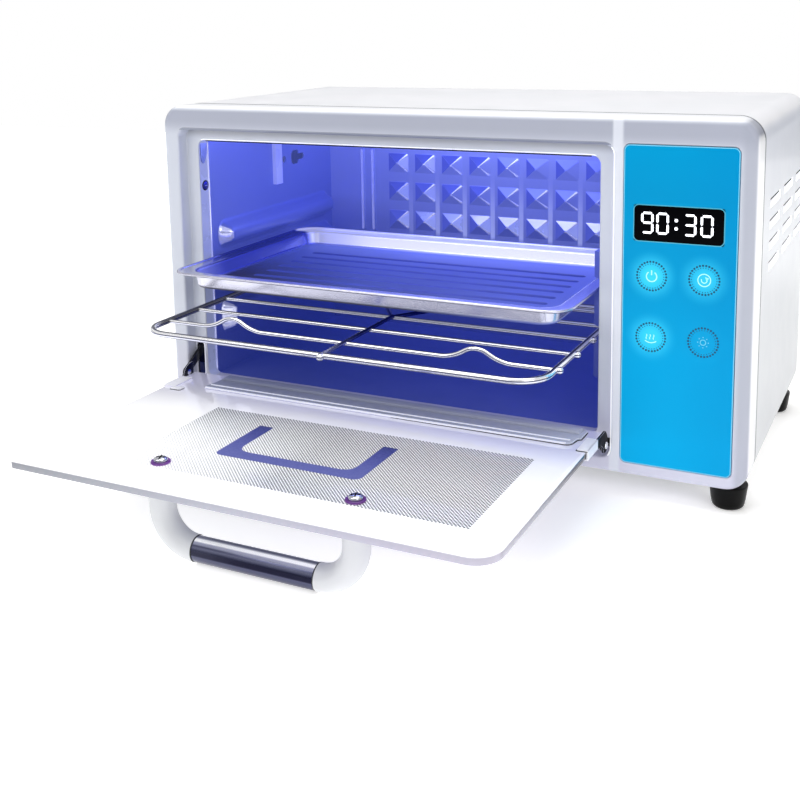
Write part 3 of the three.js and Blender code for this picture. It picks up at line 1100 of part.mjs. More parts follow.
// A round bar in the X and Z plane, bent without twist
const bentTube = (points, r, sides, side) => {
  const places = [];
  const order = [];
  const n = points.length;
  for (let i = 0; i < n; i += 1) {
    const tangent = i === 0 ? at(0, 0, -1)
      : i === n - 1 ? at(-side, 0, 0)
        : points[i + 1].clone().sub(points[i - 1]).normalize();
    if (i === 1) tangent.set(0, 0, -1);
    const across = at(0, 1, 0);
    const rise = new THREE.Vector3().crossVectors(across, tangent).normalize();
    for (let s = 0; s < sides; s += 1) {
      const a = (s / sides) * Math.PI * 2;
      const p = points[i].clone().addScaledVector(across, r * Math.cos(a)).addScaledVector(rise, r * Math.sin(a));
      places.push(p.x, p.y, p.z);
    }
  }
  for (let i = 0; i < n - 1; i += 1) {
    for (let s = 0; s < sides; s += 1) {
      const t = (s + 1) % sides;
      order.push(i * sides + s, (i + 1) * sides + s, (i + 1) * sides + t);
      order.push(i * sides + s, (i + 1) * sides + t, i * sides + t);
    }
  }
  for (let s = 1; s < sides - 1; s += 1) {
    const e = (n - 1) * sides;
    order.push(0, s, s + 1, e, e + s + 1, e + s);
  }
  const geometry = new THREE.BufferGeometry();
  geometry.setAttribute("position", new THREE.Float32BufferAttribute(places, 3));
  geometry.setIndex(order);
  const made = solidOf(geometry);
  return made.volume() > 0 ? made : solidOf(flipped(geometry));
};

const handleTube = () => {
  const x0 = HANDLE.left + HANDLE.curve;
  const x1 = HANDLE.right - HANDLE.curve;
  const reach = HANDLE.spigotLength - GAP.run * 2;
  return join(rodX(x0, x1, HANDLE.y, HANDLE.z, HANDLE.tube, SIDES.round),
    rodX(x0 - reach, x1 + reach, HANDLE.y, HANDLE.z, HANDLE.spigot));
};

const washer = (x) => {
  const top = GLASS_TOP + HANDLE_SCREW.washerThick;
  return cut(rodZ(GLASS_TOP, top, x, HANDLE.y, HANDLE_SCREW.washer, SIDES.round),
    rodZ(GLASS_TOP - GAP.over, top + GAP.over, x, HANDLE.y, HANDLE_SCREW.hole));
};

const handleScrew = (x) => {
  const seat = GLASS_TOP + HANDLE_SCREW.washerThick;
  const tip = GLASS_LOW - HANDLE_SCREW.length + GAP.run * 2;
  return join(rodZ(seat, seat + HANDLE_SCREW.headLength, x, HANDLE.y, HANDLE_SCREW.head, SIDES.round),
    rodZ(tip, seat, x, HANDLE.y, HANDLE_SCREW.shank));
};

const jambScrew = (side) => {
  const edge = side < 0 ? OPENING.left : OPENING.right;
  const inner = edge - side * JAMB_SCREW.dome;
  const outer = edge + side * JAMB_SCREW.length;
  const span = (a, b) => [Math.min(a, b), Math.max(a, b)];
  return join(rodX(...span(inner, edge), JAMB_SCREW.y, JAMB_SCREW.z, JAMB_SCREW.radius),
    rodX(...span(inner, outer), JAMB_SCREW.y, JAMB_SCREW.z, JAMB_SCREW.shank));
};

const interlockReed = () => {
  const x0 = PLATE.left + PLATE.sheet;
  return box(x0, x0 + REED.thick, REED.front, REED.back, REED.bottom, REED.top);
};

const armMagnet = () => {
  const [tailY, tailZ] = TAIL();
  const y = tailY + LINK.eyeHalf + LINK.eyeRadius + LINK.tailRim - MAGNET.radius;
  return rodX(LINK.left - MAGNET.thick, LINK.left, y, tailZ + MAGNET.radius, MAGNET.radius, SIDES.small);
};

piece("front_frame", frontFrame(), LOOK.face);
piece("outer_shell", outerShell(), LOOK.shell);
piece("base_plate", basePlate(), LOOK.steel);
piece("rear_panel", rearPanel(), LOOK.shell);
piece("cavity_left_wall", sideWall(-1), LOOK.cavity);
piece("cavity_right_wall", sideWall(1), LOOK.cavity);
piece("cavity_roof", cavitySheet(CAVITY.roof, CAVITY.roof + CAVITY.sheet), LOOK.cavity);
piece("cavity_floor", cavitySheet(CAVITY.floor - CAVITY.sheet, CAVITY.floor), LOOK.cavity);
piece("cavity_back_wall", backWall(), LOOK.cavity);
piece("control_panel", controlPanel(), LOOK.panel);
piece("display_lens", displayLens(), LOOK.screen);
piece("display_module", displayModule(), LOOK.dark);
piece("touch_board", touchBoard(), LOOK.board);
piece("touch_pad_upper_left", touchPad(KEYS.left, KEYS.upper), LOOK.copper);
piece("touch_pad_upper_right", touchPad(KEYS.right, KEYS.upper), LOOK.copper);
piece("touch_pad_lower_left", touchPad(KEYS.left, KEYS.lower), LOOK.copper);
piece("touch_pad_lower_right", touchPad(KEYS.right, KEYS.lower), LOOK.copper);
piece("power_board", powerBoard(), LOOK.board);
piece("lamp_ballast", lampBallast(), LOOK.steel);
piece("uv_lamp", lampTube(), LOOK.lamp);
piece("lamp_holder_left", lampHolder(-1), LOOK.white);
piece("lamp_holder_right", lampHolder(1), LOOK.white);
piece("ptc_heater", ptcHeater(), LOOK.steel);
piece("fan_frame", fanFrame(), LOOK.dark);
piece("fan_rotor", fanRotor(), LOOK.dark);
piece("thermal_cutout", thermalCutout(), LOOK.steel);
piece("mains_inlet", mainsInlet(), LOOK.dark);
piece("linkage_plate", linkagePlate(), LOOK.steel);
piece("interlock_reed", interlockReed(), LOOK.dark);
piece("hinge_plate_left", hingePlate(-1), LOOK.steel);
piece("hinge_plate_right", hingePlate(1), LOOK.steel);
piece("jamb_screw_left", jambScrew(-1), LOOK.chrome);
piece("jamb_screw_right", jambScrew(1), LOOK.chrome);
for (const [where, x, y] of [["front_left", -FOOT.x, FOOT.frontY], ["front_right", FOOT.x, FOOT.frontY],
  ["back_left", -FOOT.x, FOOT.backY], ["back_right", FOOT.x, FOOT.backY]]) {
  piece("foot_" + where, foot(x, y), LOOK.rubber);
  piece("foot_screw_" + where, footScrew(x, y), LOOK.steel);
}
piece("door_glass", doorGlass(), LOOK.glass);
piece("hinge_leaf", hingeLeaf(), LOOK.leaf);
piece("bracket_left", doorClip(-1), LOOK.white);
piece("bracket_right", doorClip(1), LOOK.white);
piece("hinge_pin_left", hingePin(-1), LOOK.chrome);
piece("hinge_pin_right", hingePin(1), LOOK.chrome);
piece("handle_elbow_left", elbow(-1), LOOK.white);
piece("handle_elbow_right", elbow(1), LOOK.white);
piece("handle_tube", handleTube(), LOOK.chrome);
piece("handle_washer_left", washer(HANDLE.left), LOOK.purple);
piece("handle_washer_right", washer(HANDLE.right), LOOK.purple);
piece("handle_screw_left", handleScrew(HANDLE.left), LOOK.chrome);
piece("handle_screw_right", handleScrew(HANDLE.right), LOOK.chrome);
piece("link_rivet", linkRivet(), LOOK.chrome);
piece("link_arm", linkArm(), LOOK.black);
piece("arm_magnet", armMagnet(), LOOK.dark);
piece("link_spring", linkSpring(), LOOK.steel);
piece("tray", tray(), LOOK.steel);
piece("wire_rack", rack(), LOOK.chrome);

// The row frame: the middle of the box in X and Y, and the lowest point at Z 0
const lowest = HANDLE.z - HANDLE.elbow;
part.position.set(0, -(GLASS.front + BODY.depth) / 2, -lowest);

export default part;
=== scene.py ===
"""Looks of an ultraviolet sterilizer cabinet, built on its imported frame.

Every length in this script is written in millimetres in the drawing's own places: X is 0 at the middle of
the body, Y is 0 at its front face and Z is 0 at its underside. ``Piece.done`` turns such places into the
frame's metres.
"""

import json
import logging
import math
from dataclasses import dataclass, field, replace
from enum import Enum
from typing import Callable, Iterable, Sequence

import bmesh
import bpy
from mathutils import Matrix, Vector

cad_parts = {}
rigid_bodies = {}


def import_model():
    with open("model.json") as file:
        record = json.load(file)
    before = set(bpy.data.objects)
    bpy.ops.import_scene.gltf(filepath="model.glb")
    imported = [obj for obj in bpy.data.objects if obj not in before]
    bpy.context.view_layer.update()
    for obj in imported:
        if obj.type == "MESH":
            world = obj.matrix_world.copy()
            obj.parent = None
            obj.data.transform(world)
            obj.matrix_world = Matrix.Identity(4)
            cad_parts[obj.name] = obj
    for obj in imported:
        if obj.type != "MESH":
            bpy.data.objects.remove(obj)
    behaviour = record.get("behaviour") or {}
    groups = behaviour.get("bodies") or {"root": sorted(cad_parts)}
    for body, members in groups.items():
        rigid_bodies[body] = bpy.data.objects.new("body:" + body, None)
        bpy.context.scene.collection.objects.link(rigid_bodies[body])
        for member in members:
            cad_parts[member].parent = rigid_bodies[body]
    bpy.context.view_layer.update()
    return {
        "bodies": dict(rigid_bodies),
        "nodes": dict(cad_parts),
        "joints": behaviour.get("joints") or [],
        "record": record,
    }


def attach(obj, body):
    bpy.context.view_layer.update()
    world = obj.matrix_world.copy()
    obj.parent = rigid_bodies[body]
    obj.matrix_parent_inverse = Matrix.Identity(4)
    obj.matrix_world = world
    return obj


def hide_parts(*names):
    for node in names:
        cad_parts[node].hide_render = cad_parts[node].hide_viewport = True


LOG = logging.getLogger("cabinet")
MM = 0.001
# where the drawing's origin lies in the row frame
ROW_Y = -13.0
ROW_Z = 26.2
ROW = Matrix.Translation((0.0, ROW_Y * MM, ROW_Z * MM)) @ Matrix.Scale(MM, 4)
Point = tuple[float, float, float]
Spot = tuple[float, float]
Colour = tuple[float, float, float]
Material = bpy.types.Material
Socket = bpy.types.NodeSocket
Level = Socket | float
Tone = Socket | Colour
# vertices nearer than this are welded into one
WELD = 1e-4
# a smaller corner radius would lose the corner's points
LEAST_RADIUS = 0.1
# height of the fine relief at full strength, in metres
RELIEF = 0.0005
# the middle part of a noise pattern, which most of a surface falls into
NOISE_LOW = 0.3
NOISE_HIGH = 0.7


def row(x: float, y: float, z: float) -> Vector:
    """A place of the drawing as a point of the row frame, in metres."""
    return ROW @ Vector((x, y, z))


def srgb(code: str) -> Colour:
    """A colour code such as c5cbd8 as linear red, green and blue."""
    values = [int(code[i:i + 2], 16) / 255 for i in (0, 2, 4)]
    return tuple(v / 12.92 if v <= 0.04045 else ((v + 0.055) / 1.055) ** 2.4 for v in values)


class Body(Enum):
    """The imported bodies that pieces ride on."""

    CABINET = "cabinet"
    DOOR = "door"
    LINK = "link"
    TRAY = "tray_drawer"
    RACK = "rack_drawer"
    FAN = "fan_wheel"


class Facing(Enum):
    """The plane that an outline is drawn in: its two directions, and the one that its level runs along."""

    TOP = ((1, 0, 0), (0, 1, 0), (0, 0, 1))
    FRONT = ((1, 0, 0), (0, 0, 1), (0, 1, 0))
    SIDE = ((0, 1, 0), (0, 0, 1), (1, 0, 0))

    def point(self, along: float, up: float, level: float) -> Vector:
        """A spot of the plane as a place of the drawing."""
        first, second, third = (Vector(axis) for axis in self.value)
        return first * along + second * up + third * level


class Axis(Enum):
    """The three directions of the drawing."""

    X = (1, 0, 0)
    Y = (0, 1, 0)
    Z = (0, 0, 1)


class Grain(Enum):
    """The kinds of fine surface relief."""

    NONE = "none"
    MOULDED = "moulded"
    POWDER = "powder"
    BRUSHED_X = "brushed_x"
    CAST = "cast"


@dataclass(frozen=True)
class Shape:
    """A closed outline given by its corners.

    Attributes:
        corners: the corners in order.
        radius: one rounding for all corners, or one for each.
        steps: segments of each rounding.
    """

    corners: tuple[Spot, ...]
    radius: float | tuple[float, ...] = 0.0
    steps: int = 8


@dataclass(frozen=True)
class Oblong:
    """A rectangle with rounded corners.

    Attributes:
        left: smallest first coordinate.
        right: largest first coordinate.
        low: smallest second coordinate.
        high: largest second coordinate.
        radius: rounding of its corners.
        steps: segments of each rounding.
    """

    left: float
    right: float
    low: float
    high: float
    radius: float = 0.0
    steps: int = 8

    @property
    def corners(self) -> tuple[Spot, ...]:
        """The four corners in order."""
        return ((self.left, self.low), (self.right, self.low),
                (self.right, self.high), (self.left, self.high))

    def grown(self, by: float) -> "Oblong":
        """The same shape, larger by some millimetres on every side."""
        return replace(self, left=self.left - by, right=self.right + by, low=self.low - by,
                       high=self.high + by, radius=max(self.radius + by, LEAST_RADIUS))


@dataclass(frozen=True)
class Finish:
    """One surface finish.

    Attributes:
        name: the material's name.
        colour: its main colour, a hexadecimal code.
        second: the colour it varies towards.
        rough: roughness.
        metal: metalness.
        grain: the fine relief.
        size: the relief's size in millimetres.
        depth: strength of the relief.
        coat: clear coat weight.
        glow: emission strength.
        light: emission colour, a hexadecimal code.
        wear: how much roughness varies in patches.
        gloss: level of the plain mirror-like reflection.
    """

    name: str
    colour: str
    second: str
    rough: float = 0.4
    metal: float = 0.0
    grain: Grain = Grain.MOULDED
    size: float = 0.6
    depth: float = 0.05
    coat: float = 0.0
    glow: float = 0.0
    light: str = "ffffff"
    wear: float = 0.05
    gloss: float = 0.5


class Shader:
    """A small builder of node materials.

    Args:
        name: the material's name.
    """

    def __init__(self, name: str) -> None:
        self.material = bpy.data.materials.new(name)
        self.material.use_nodes = True
        self.tree = self.material.node_tree
        self.tree.nodes.clear()
        self.out = self.tree.nodes.new("ShaderNodeOutputMaterial")
        self.surface = self.tree.nodes.new("ShaderNodeBsdfPrincipled")
        self.link(self.surface.outputs[0], self.out.inputs[0])
        self.place = self.tree.nodes.new("ShaderNodeTexCoord").outputs["Object"]

    def link(self, source: Socket, target: Socket) -> None:
        """Joins an output socket to an input socket."""
        self.tree.links.new(source, target)

    def node(self, kind: str, **values: object) -> bpy.types.Node:
        """A new node.

        Args:
            kind: the node's type without its ShaderNode prefix.
            values: attributes, or inputs by name with spaces as underscores.

        Returns:
            The node.
        """
        made = self.tree.nodes.new("ShaderNode" + kind)
        for key, value in values.items():
            if hasattr(made, key):
                setattr(made, key, value)
            else:
                made.inputs[key.replace("_", " ")].default_value = value
        return made

    def scaled(self, x: float, y: float, z: float) -> Socket:
        """Object coordinates multiplied along each axis.

        Args:
            x: the factor along X.
            y: the factor along Y.
            z: the factor along Z.

        Returns:
            The vector socket.
        """
        mapping = self.node("Mapping", vector_type="POINT")
        mapping.inputs["Scale"].default_value = (x, y, z)
        self.link(self.place, mapping.inputs["Vector"])
        return mapping.outputs[0]

    def noise(self, vector: Socket, scale: float, detail: float = 3.0, rough: float = 0.5) -> Socket:
        """A noise factor over a vector.

        Args:
            vector: where on the surface it is read.
            scale: how fine it is.
            detail: how many finer layers it has.
            rough: how strong these layers are.

        Returns:
            A socket from 0 to 1.
        """
        made = self.node("TexNoise", Scale=scale, Detail=detail, Roughness=rough)
        self.link(vector, made.inputs["Vector"])
        return made.outputs["Fac"]

    def even(self, scale: float, detail: float = 3.0, rough: float = 0.5) -> Socket:
        """A noise factor that is alike in every direction."""
        return self.noise(self.scaled(1, 1, 1), scale, detail, rough)

    def worn(self, pattern: Socket, low: float, high: float) -> Socket:
        """A noise pattern laid onto a span of roughness."""
        return self.span(pattern, NOISE_LOW, NOISE_HIGH, low, high)

    def rough(self, value: Socket) -> None:
        """The surface's roughness, from a socket."""
        self.link(value, self.surface.inputs["Roughness"])

    def times(self, first: Level, second: Level) -> Socket:
        """The product of two sockets or numbers."""
        return self.math("MULTIPLY", first, second)

    def math(self, operation: str, first: Level, second: Level | None = None) -> Socket:
        """A Math node over sockets or numbers.

        Args:
            operation: the node's operation.
            first: its first value.
            second: its second value, where it has one.

        Returns:
            The result's socket.
        """
        made = self.node("Math", operation=operation)
        for index, value in enumerate((first, second)):
            if value is None:
                continue
            if isinstance(value, (int, float)):
                made.inputs[index].default_value = value
            else:
                self.link(value, made.inputs[index])
        return made.outputs[0]

    def span(self, value: Socket, low: float, high: float, to_low: float = 0.0, to_high: float = 1.0,
             smooth: bool = True) -> Socket:
        """A value from one span laid onto another.

        Args:
            value: the value.
            low: where its own span starts.
            high: where its own span ends.
            to_low: what the start becomes.
            to_high: what the end becomes.
            smooth: whether it starts and ends softly.

        Returns:
            The result's socket.
        """
        made = self.node("MapRange", interpolation_type="SMOOTHSTEP" if smooth else "LINEAR")
        self.link(value, made.inputs["Value"])
        made.inputs["From Min"].default_value = low
        made.inputs["From Max"].default_value = high
        made.inputs["To Min"].default_value = to_low
        made.inputs["To Max"].default_value = to_high
        return made.outputs["Result"]

    def across(self, axis: str, low: float, high: float, smooth: bool = True) -> Socket:
        """How far a point is between two places of one axis.

        Args:
            axis: X, Y or Z.
            low: where it is 0, in drawing millimetres.
            high: where it is 1.
            smooth: whether it starts and ends softly.

        Returns:
            A socket from 0 to 1.
        """
        made = self.node("SeparateXYZ")
        self.link(self.place, made.inputs[0])
        shift = {"X": 0.0, "Y": ROW_Y, "Z": ROW_Z}[axis]
        return self.span(made.outputs[axis], (low + shift) * MM, (high + shift) * MM, 0.0, 1.0, smooth)

    def away(self, first: str, second: str, u: float, v: float) -> Socket:
        """Distance from a line through a spot of two axes.

        Args:
            first: the first axis.
            second: the second axis.
            u: the spot's place on the first axis.
            v: the spot's place on the second axis.

        Returns:
            The distance's socket, in millimetres.
        """
        made = self.node("SeparateXYZ")
        self.link(self.place, made.inputs[0])
        shift = {"X": 0.0, "Y": ROW_Y, "Z": ROW_Z}
        squares = []
        for axis, value in ((first, u), (second, v)):
            side = self.math("SUBTRACT", made.outputs[axis], (value + shift[axis]) * MM)
            squares.append(self.times(side, side))
        return self.math("DIVIDE", self.math("SQRT", self.math("ADD", *squares)), MM)

    def tinted(self, tone: Tone, code: str, area: Socket, amount: float = 1.0) -> Socket:
        """A colour turned towards another one over an area.

        Args:
            tone: the colour.
            code: the other colour's code.
            area: a socket that is 1 where the other colour shows.
            amount: how far the colour turns there.

        Returns:
            The colour's socket.
        """
        factor = self.times(area, amount) if amount < 1 else area
        return self.mix(factor, tone, srgb(code))

    def mix(self, factor: Level, first: Tone, second: Tone) -> Socket:
        """A colour between two colours.

        Args:
            factor: 0 for the first colour and 1 for the second.
            first: the first colour.
            second: the second colour.

        Returns:
            The colour's socket.
        """
        made = self.node("Mix", data_type="RGBA")
        if isinstance(factor, (int, float)):
            made.inputs["Factor"].default_value = factor
        else:
            self.link(factor, made.inputs["Factor"])
        for index, value in ((6, first), (7, second)):
            if isinstance(value, tuple):
                made.inputs[index].default_value = (*value[:3], 1.0)
            else:
                self.link(value, made.inputs[index])
        return made.outputs[2]

    def ramp(self, factor: Socket, stops: Sequence[tuple[float, str]]) -> Socket:
        """A colour ramp over a factor.

        Args:
            factor: a socket from 0 to 1.
            stops: pairs of place and colour code.

        Returns:
            The colour's socket.
        """
        made = self.node("ValToRGB")
        ramp = made.color_ramp
        while len(ramp.elements) < len(stops):
            ramp.elements.new(0.5)
        for element, (where, code) in zip(ramp.elements, stops):
            element.position = where
            element.color = (*srgb(code), 1.0)
        self.link(factor, made.inputs[0])
        return made.outputs[0]

    def colour(self, value: Socket) -> None:
        """The surface's colour, from a socket."""
        self.link(value, self.surface.inputs["Base Color"])

    def glow(self, value: Socket, strength: Level) -> None:
        """Light that the surface gives off.

        Args:
            value: a colour socket.
            strength: a number or a socket.
        """
        self.link(value, self.surface.inputs["Emission Color"])
        if isinstance(strength, (int, float)):
            self.surface.inputs["Emission Strength"].default_value = strength
        else:
            self.link(strength, self.surface.inputs["Emission Strength"])

    def bump(self, height: Socket, strength: float) -> None:
        """Relief on the surface.

        Args:
            height: the height's socket, from 0 to 1.
            strength: how strong the relief is.
        """
        made = self.node("Bump", Strength=strength, Distance=RELIEF)
        self.link(height, made.inputs["Height"])
        self.link(made.outputs[0], self.surface.inputs["Normal"])

    def base(self, **values: float | tuple) -> None:
        """Constant values on the surface's own sockets."""
        for key, value in values.items():
            self.surface.inputs[key.replace("_", " ")].default_value = value


class Piece:
    """A mesh under way, shaped by mesh operators in drawing millimetres.

    Args:
        name: the finished object's name.
        facing: the plane that its outlines are drawn in.
    """

    def __init__(self, name: str, facing: Facing = Facing.TOP) -> None:
        self.name = name
        self.facing = facing
        self.bm = bmesh.new()

    @staticmethod
    def _round(mesh: bmesh.types.BMesh, geom: list, size: float, steps: int,
               affect: str = "VERTICES") -> dict:
        """Rounds corners or edges.

        Args:
            mesh: the mesh that they are in.
            geom: the vertices or edges.
            size: how far the rounding reaches.
            steps: its segments.
            affect: VERTICES or EDGES.

        Returns:
            What the bevel made.
        """
        return bmesh.ops.bevel(mesh, geom=geom, offset=size, offset_type="OFFSET", affect=affect,
                               segments=steps, profile=0.5, material=-1, clamp_overlap=True)

    def loop(self, shape: Shape | Oblong, level: float) -> list:
        """A closed line with rounded corners.

        Args:
            shape: its outline.
            level: how far it stands along the third direction.

        Returns:
            Its edges.
        """
        corners = [self.bm.verts.new(self.facing.point(u, v, level)) for u, v in shape.corners]
        self.bm.faces.new(corners)
        radii = shape.radius if isinstance(shape.radius, tuple) else (shape.radius,) * len(corners)
        kept = [vert for vert, radius in zip(corners, radii) if radius <= 0]
        made: list = []
        if len(set(radii)) == 1 and radii[0] > 0:
            made = self._round(self.bm, corners, radii[0], shape.steps)["verts"]
        else:
            for vert, radius in zip(corners, radii):
                if radius > 0:
                    made += self._round(self.bm, [vert], radius, shape.steps)["verts"]
        edges = self._island(next(v for v in kept + made if v.is_valid))
        bmesh.ops.delete(self.bm, geom=list(edges[0].link_faces), context="FACES_ONLY")
        return edges

    @staticmethod
    def _island(start: bmesh.types.BMVert) -> list:
        """The edges of everything that hangs together with one vertex.

        Args:
            start: the vertex.

        Returns:
            The edges.
        """
        seen, edges, waiting = {start}, [], [start]
        while waiting:
            vert = waiting.pop()
            for edge in vert.link_edges:
                other = edge.other_vert(vert)
                if edge not in edges:
                    edges.append(edge)
                if other not in seen:
                    seen.add(other)
                    waiting.append(other)
        return edges

    def circle(self, u: float, v: float, level: float, radius: float, sides: int = 24,
               filled: bool = False) -> list:
        """A circle in the piece's plane.

        Args:
            u: its middle's first coordinate.
            v: its middle's second coordinate.
            level: how far it stands along the third direction.
            radius: its radius.
            sides: how many edges it has.
            filled: whether it gets a face.

        Returns:
            Its edges.
        """
        first, second, third = (Vector(axis) for axis in self.facing.value)
        turn = Matrix((first, second, third)).transposed().to_4x4()
        place = Matrix.Translation(self.facing.point(u, v, level)) @ turn
        made = bmesh.ops.create_circle(self.bm, cap_ends=filled, radius=radius, segments=sides, matrix=place)
        return self._island(made["verts"][0])

    def fill(self, edges: Sequence, slot: int = 0) -> list:
        """A flat face over an outline with any holes.

        Args:
            edges: the edges of outline and holes.
            slot: the material slot.

        Returns:
            The new faces.
        """
        made = bmesh.ops.triangle_fill(self.bm, use_beauty=True, use_dissolve=False, edges=list(edges))
        faces = [item for item in made["geom"] if isinstance(item, bmesh.types.BMFace)]
        for face in faces:
            face.material_index = slot
        return faces

    def stack(self, layers: Sequence[tuple], slot: int = 0, first: bool = False, last: bool = False) -> list:
        """Outlines at several levels joined one to the next.

        Args:
            layers: pairs of outline and level.
            slot: the material slot.
            first: whether the first outline is closed by a face.
            last: whether the last outline is closed by a face.

        Returns:
            The edges of each outline.
        """
        loops = [self.loop(shape, level) for shape, level in layers]
        for step, (low, high) in enumerate(zip(loops, loops[1:])):
            flat = abs(layers[step][1] - layers[step + 1][1]) < 1e-6
            lift = Vector(self.facing.value[2]) * (1.0 if flat else 0.0)
            verts = list({vert for edge in high for vert in edge.verts})
            bmesh.ops.translate(self.bm, vec=lift, verts=verts)
            for face in bmesh.ops.bridge_loops(self.bm, edges=low + high)["faces"]:
                face.material_index = slot
            bmesh.ops.translate(self.bm, vec=-lift, verts=verts)
        if first:
            self.fill(loops[0], slot)
        if last:
            self.fill(loops[-1], slot)
        return loops

    def slab(self, shape: Shape | Oblong, low: float, high: float, rim: float = 0.25, slot: int = 0,
             edge_slot: int | None = None) -> None:
        """A solid plate with rounded rims.

        Args:
            shape: its outline.
            low: one level.
            high: the other level.
            rim: rounding of both rims.
            slot: the material slot.
            edge_slot: the rims' material slot, where it differs.
        """
        loops = [self.loop(shape, low), self.loop(shape, high)]
        faces = list(bmesh.ops.bridge_loops(self.bm, edges=loops[0] + loops[1])["faces"])
        for edges in loops:
            faces += bmesh.ops.contextual_create(self.bm, geom=edges)["faces"]
        for face in faces:
            face.material_index = slot
        if rim > 0:
            made = self._round(self.bm, loops[0] + loops[1], rim, 2, "EDGES")
            if edge_slot is not None:
                for face in made["faces"]:
                    face.material_index = edge_slot

    def turned(self, profile: Sequence[Spot], middle: Point, axis: Axis = Axis.Z, steps: int = 32,
               slot: int = 0) -> None:
        """A turned form.

        Args:
            profile: pairs of radius and height along the axis.
            middle: a place on the axis.
            axis: the axis.
            steps: segments of the full turn.
            slot: the material slot.
        """
        along = Vector(axis.value)
        out = Vector((0, 0, 1)) if axis is not Axis.Z else Vector((1, 0, 0))
        verts = [self.bm.verts.new(Vector(middle) + out * radius + along * height)
                 for radius, height in profile]
        edges = [self.bm.edges.new(pair) for pair in zip(verts, verts[1:])]
        before = set(self.bm.faces) if slot else set()
        bmesh.ops.spin(self.bm, geom=verts + edges, cent=middle, axis=along, angle=math.tau, steps=steps,
                       use_merge=True, use_duplicate=False)
        if slot:
            for face in self.bm.faces:
                if face not in before:
                    face.material_index = slot

    def wire(self, route: Sequence[Point], radius: float, bend: float = 0.0, steps: int = 8, sides: int = 12,
             closed: bool = False, slot: int = 0) -> None:
        """A round bar along a route.

        Args:
            route: its corners.
            radius: its radius.
            bend: how far before and after a corner its bend reaches.
            steps: segments of each bend.
            sides: edges round the bar.
            closed: whether the route returns to its start.
            slot: the material slot.
        """
        path = bmesh.new()
        verts = [path.verts.new(point) for point in route]
        for pair in zip(verts, verts[1:] + verts[:1]) if closed else zip(verts, verts[1:]):
            path.edges.new(pair)
        if bend > 0:
            self._round(path, verts if closed else verts[1:-1], bend, steps)
        start = min((v for v in path.verts if closed or len(v.link_edges) == 1),
                    key=lambda v: (v.co - Vector(route[0])).length)
        points, edge, vert = [start.co.copy()], None, start
        while True:
            edge = next((e for e in vert.link_edges if e is not edge), None)
            vert = edge.other_vert(vert) if edge else None
            if vert is None or vert is start:
                break
            points.append(vert.co.copy())
        path.free()
        self._sweep(points, radius, sides, closed, slot)

    def _sweep(self, points: Sequence[Vector], radius: float, sides: int, closed: bool, slot: int) -> None:
        """Lays a round section along points and rounds the bar's two ends.

        Args:
            points: the middle line.
            radius: the bar's radius.
            sides: edges round the bar.
            closed: whether the line returns to its start.
            slot: the material slot.
        """
        curve = bpy.data.curves.new(self.name + "_route", "CURVE")
        curve.dimensions = "3D"
        curve.bevel_depth = radius
        curve.bevel_resolution = (sides - 4) // 2
        curve.use_fill_caps = not closed
        spline = curve.splines.new("POLY")
        spline.points.add(len(points) - 1)
        spline.use_cyclic_u = closed
        for target, point in zip(spline.points, points):
            target.co = (*point, 1.0)
        holder = bpy.data.objects.new(self.name + "_route", curve)
        bpy.context.collection.objects.link(holder)
        swept = holder.evaluated_get(bpy.context.evaluated_depsgraph_get())
        bar = bmesh.new()
        bar.from_mesh(swept.to_mesh())
        bmesh.ops.remove_doubles(bar, verts=bar.verts, dist=radius * 0.01)
        caps = [face for face in bar.faces if len(face.verts) > 4]
        if caps:
            rims = {edge for face in caps for edge in face.edges}
            self._round(bar, list(rims), radius * 0.3, 2, "EDGES")
        for face in bar.faces:
            face.material_index = slot
        mesh = bpy.data.meshes.new(self.name + "_bar")
        bar.to_mesh(mesh)
        bar.free()
        self.bm.from_mesh(mesh)
        swept.to_mesh_clear()
        bpy.data.objects.remove(holder)
        bpy.data.curves.remove(curve)
        bpy.data.meshes.remove(mesh)

    def done(self, body: Body, materials: Sequence[Material], replaces: Sequence[str] = (), slot: str = "",
             sharp: float = 35.0, toward: Axis | None = None, wall: float = 0.0,
             seen: Point = (0, -1, 0)) -> bpy.types.Object:
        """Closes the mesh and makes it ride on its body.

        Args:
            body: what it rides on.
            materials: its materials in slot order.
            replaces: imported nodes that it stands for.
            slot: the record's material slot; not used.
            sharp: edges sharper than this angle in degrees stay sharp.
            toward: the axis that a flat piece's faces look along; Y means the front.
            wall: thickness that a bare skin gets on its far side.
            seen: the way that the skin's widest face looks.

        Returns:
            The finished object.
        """
        bmesh.ops.remove_doubles(self.bm, verts=self.bm.verts, dist=WELD)
        bmesh.ops.recalc_face_normals(self.bm, faces=self.bm.faces)
        if toward is not None:
            look = Vector(toward.value) * (-1 if toward is Axis.Y else 1)
            wrong = [face for face in self.bm.faces if face.normal.dot(look) < 0]
            bmesh.ops.reverse_faces(self.bm, faces=wrong)
        if wall > 0:
            widest = max(self.bm.faces, key=lambda face: face.calc_area())
            if widest.normal.dot(Vector(seen)) < 0:
                bmesh.ops.reverse_faces(self.bm, faces=self.bm.faces)
        bmesh.ops.transform(self.bm, matrix=ROW, verts=self.bm.verts)
        for edge in self.bm.edges:
            edge.smooth = not edge.is_boundary and edge.calc_face_angle(0.0) < math.radians(sharp)
        mesh = bpy.data.meshes.new(self.name)
        self.bm.to_mesh(mesh)
        self.bm.free()
        mesh.polygons.foreach_set("use_smooth", [True] * len(mesh.polygons))
        for material in materials:
            mesh.materials.append(material)
        made = bpy.data.objects.new(self.name, mesh)
        bpy.context.collection.objects.link(made)
        if wall > 0:
            thick = made.modifiers.new("wall", "SOLIDIFY")
            thick.thickness = wall * MM
            thick.offset = -1.0
        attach(made, body.value)
        if replaces:
            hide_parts(*replaces)
        LOG.info("%s: %d faces", self.name, len(mesh.polygons))
        return made


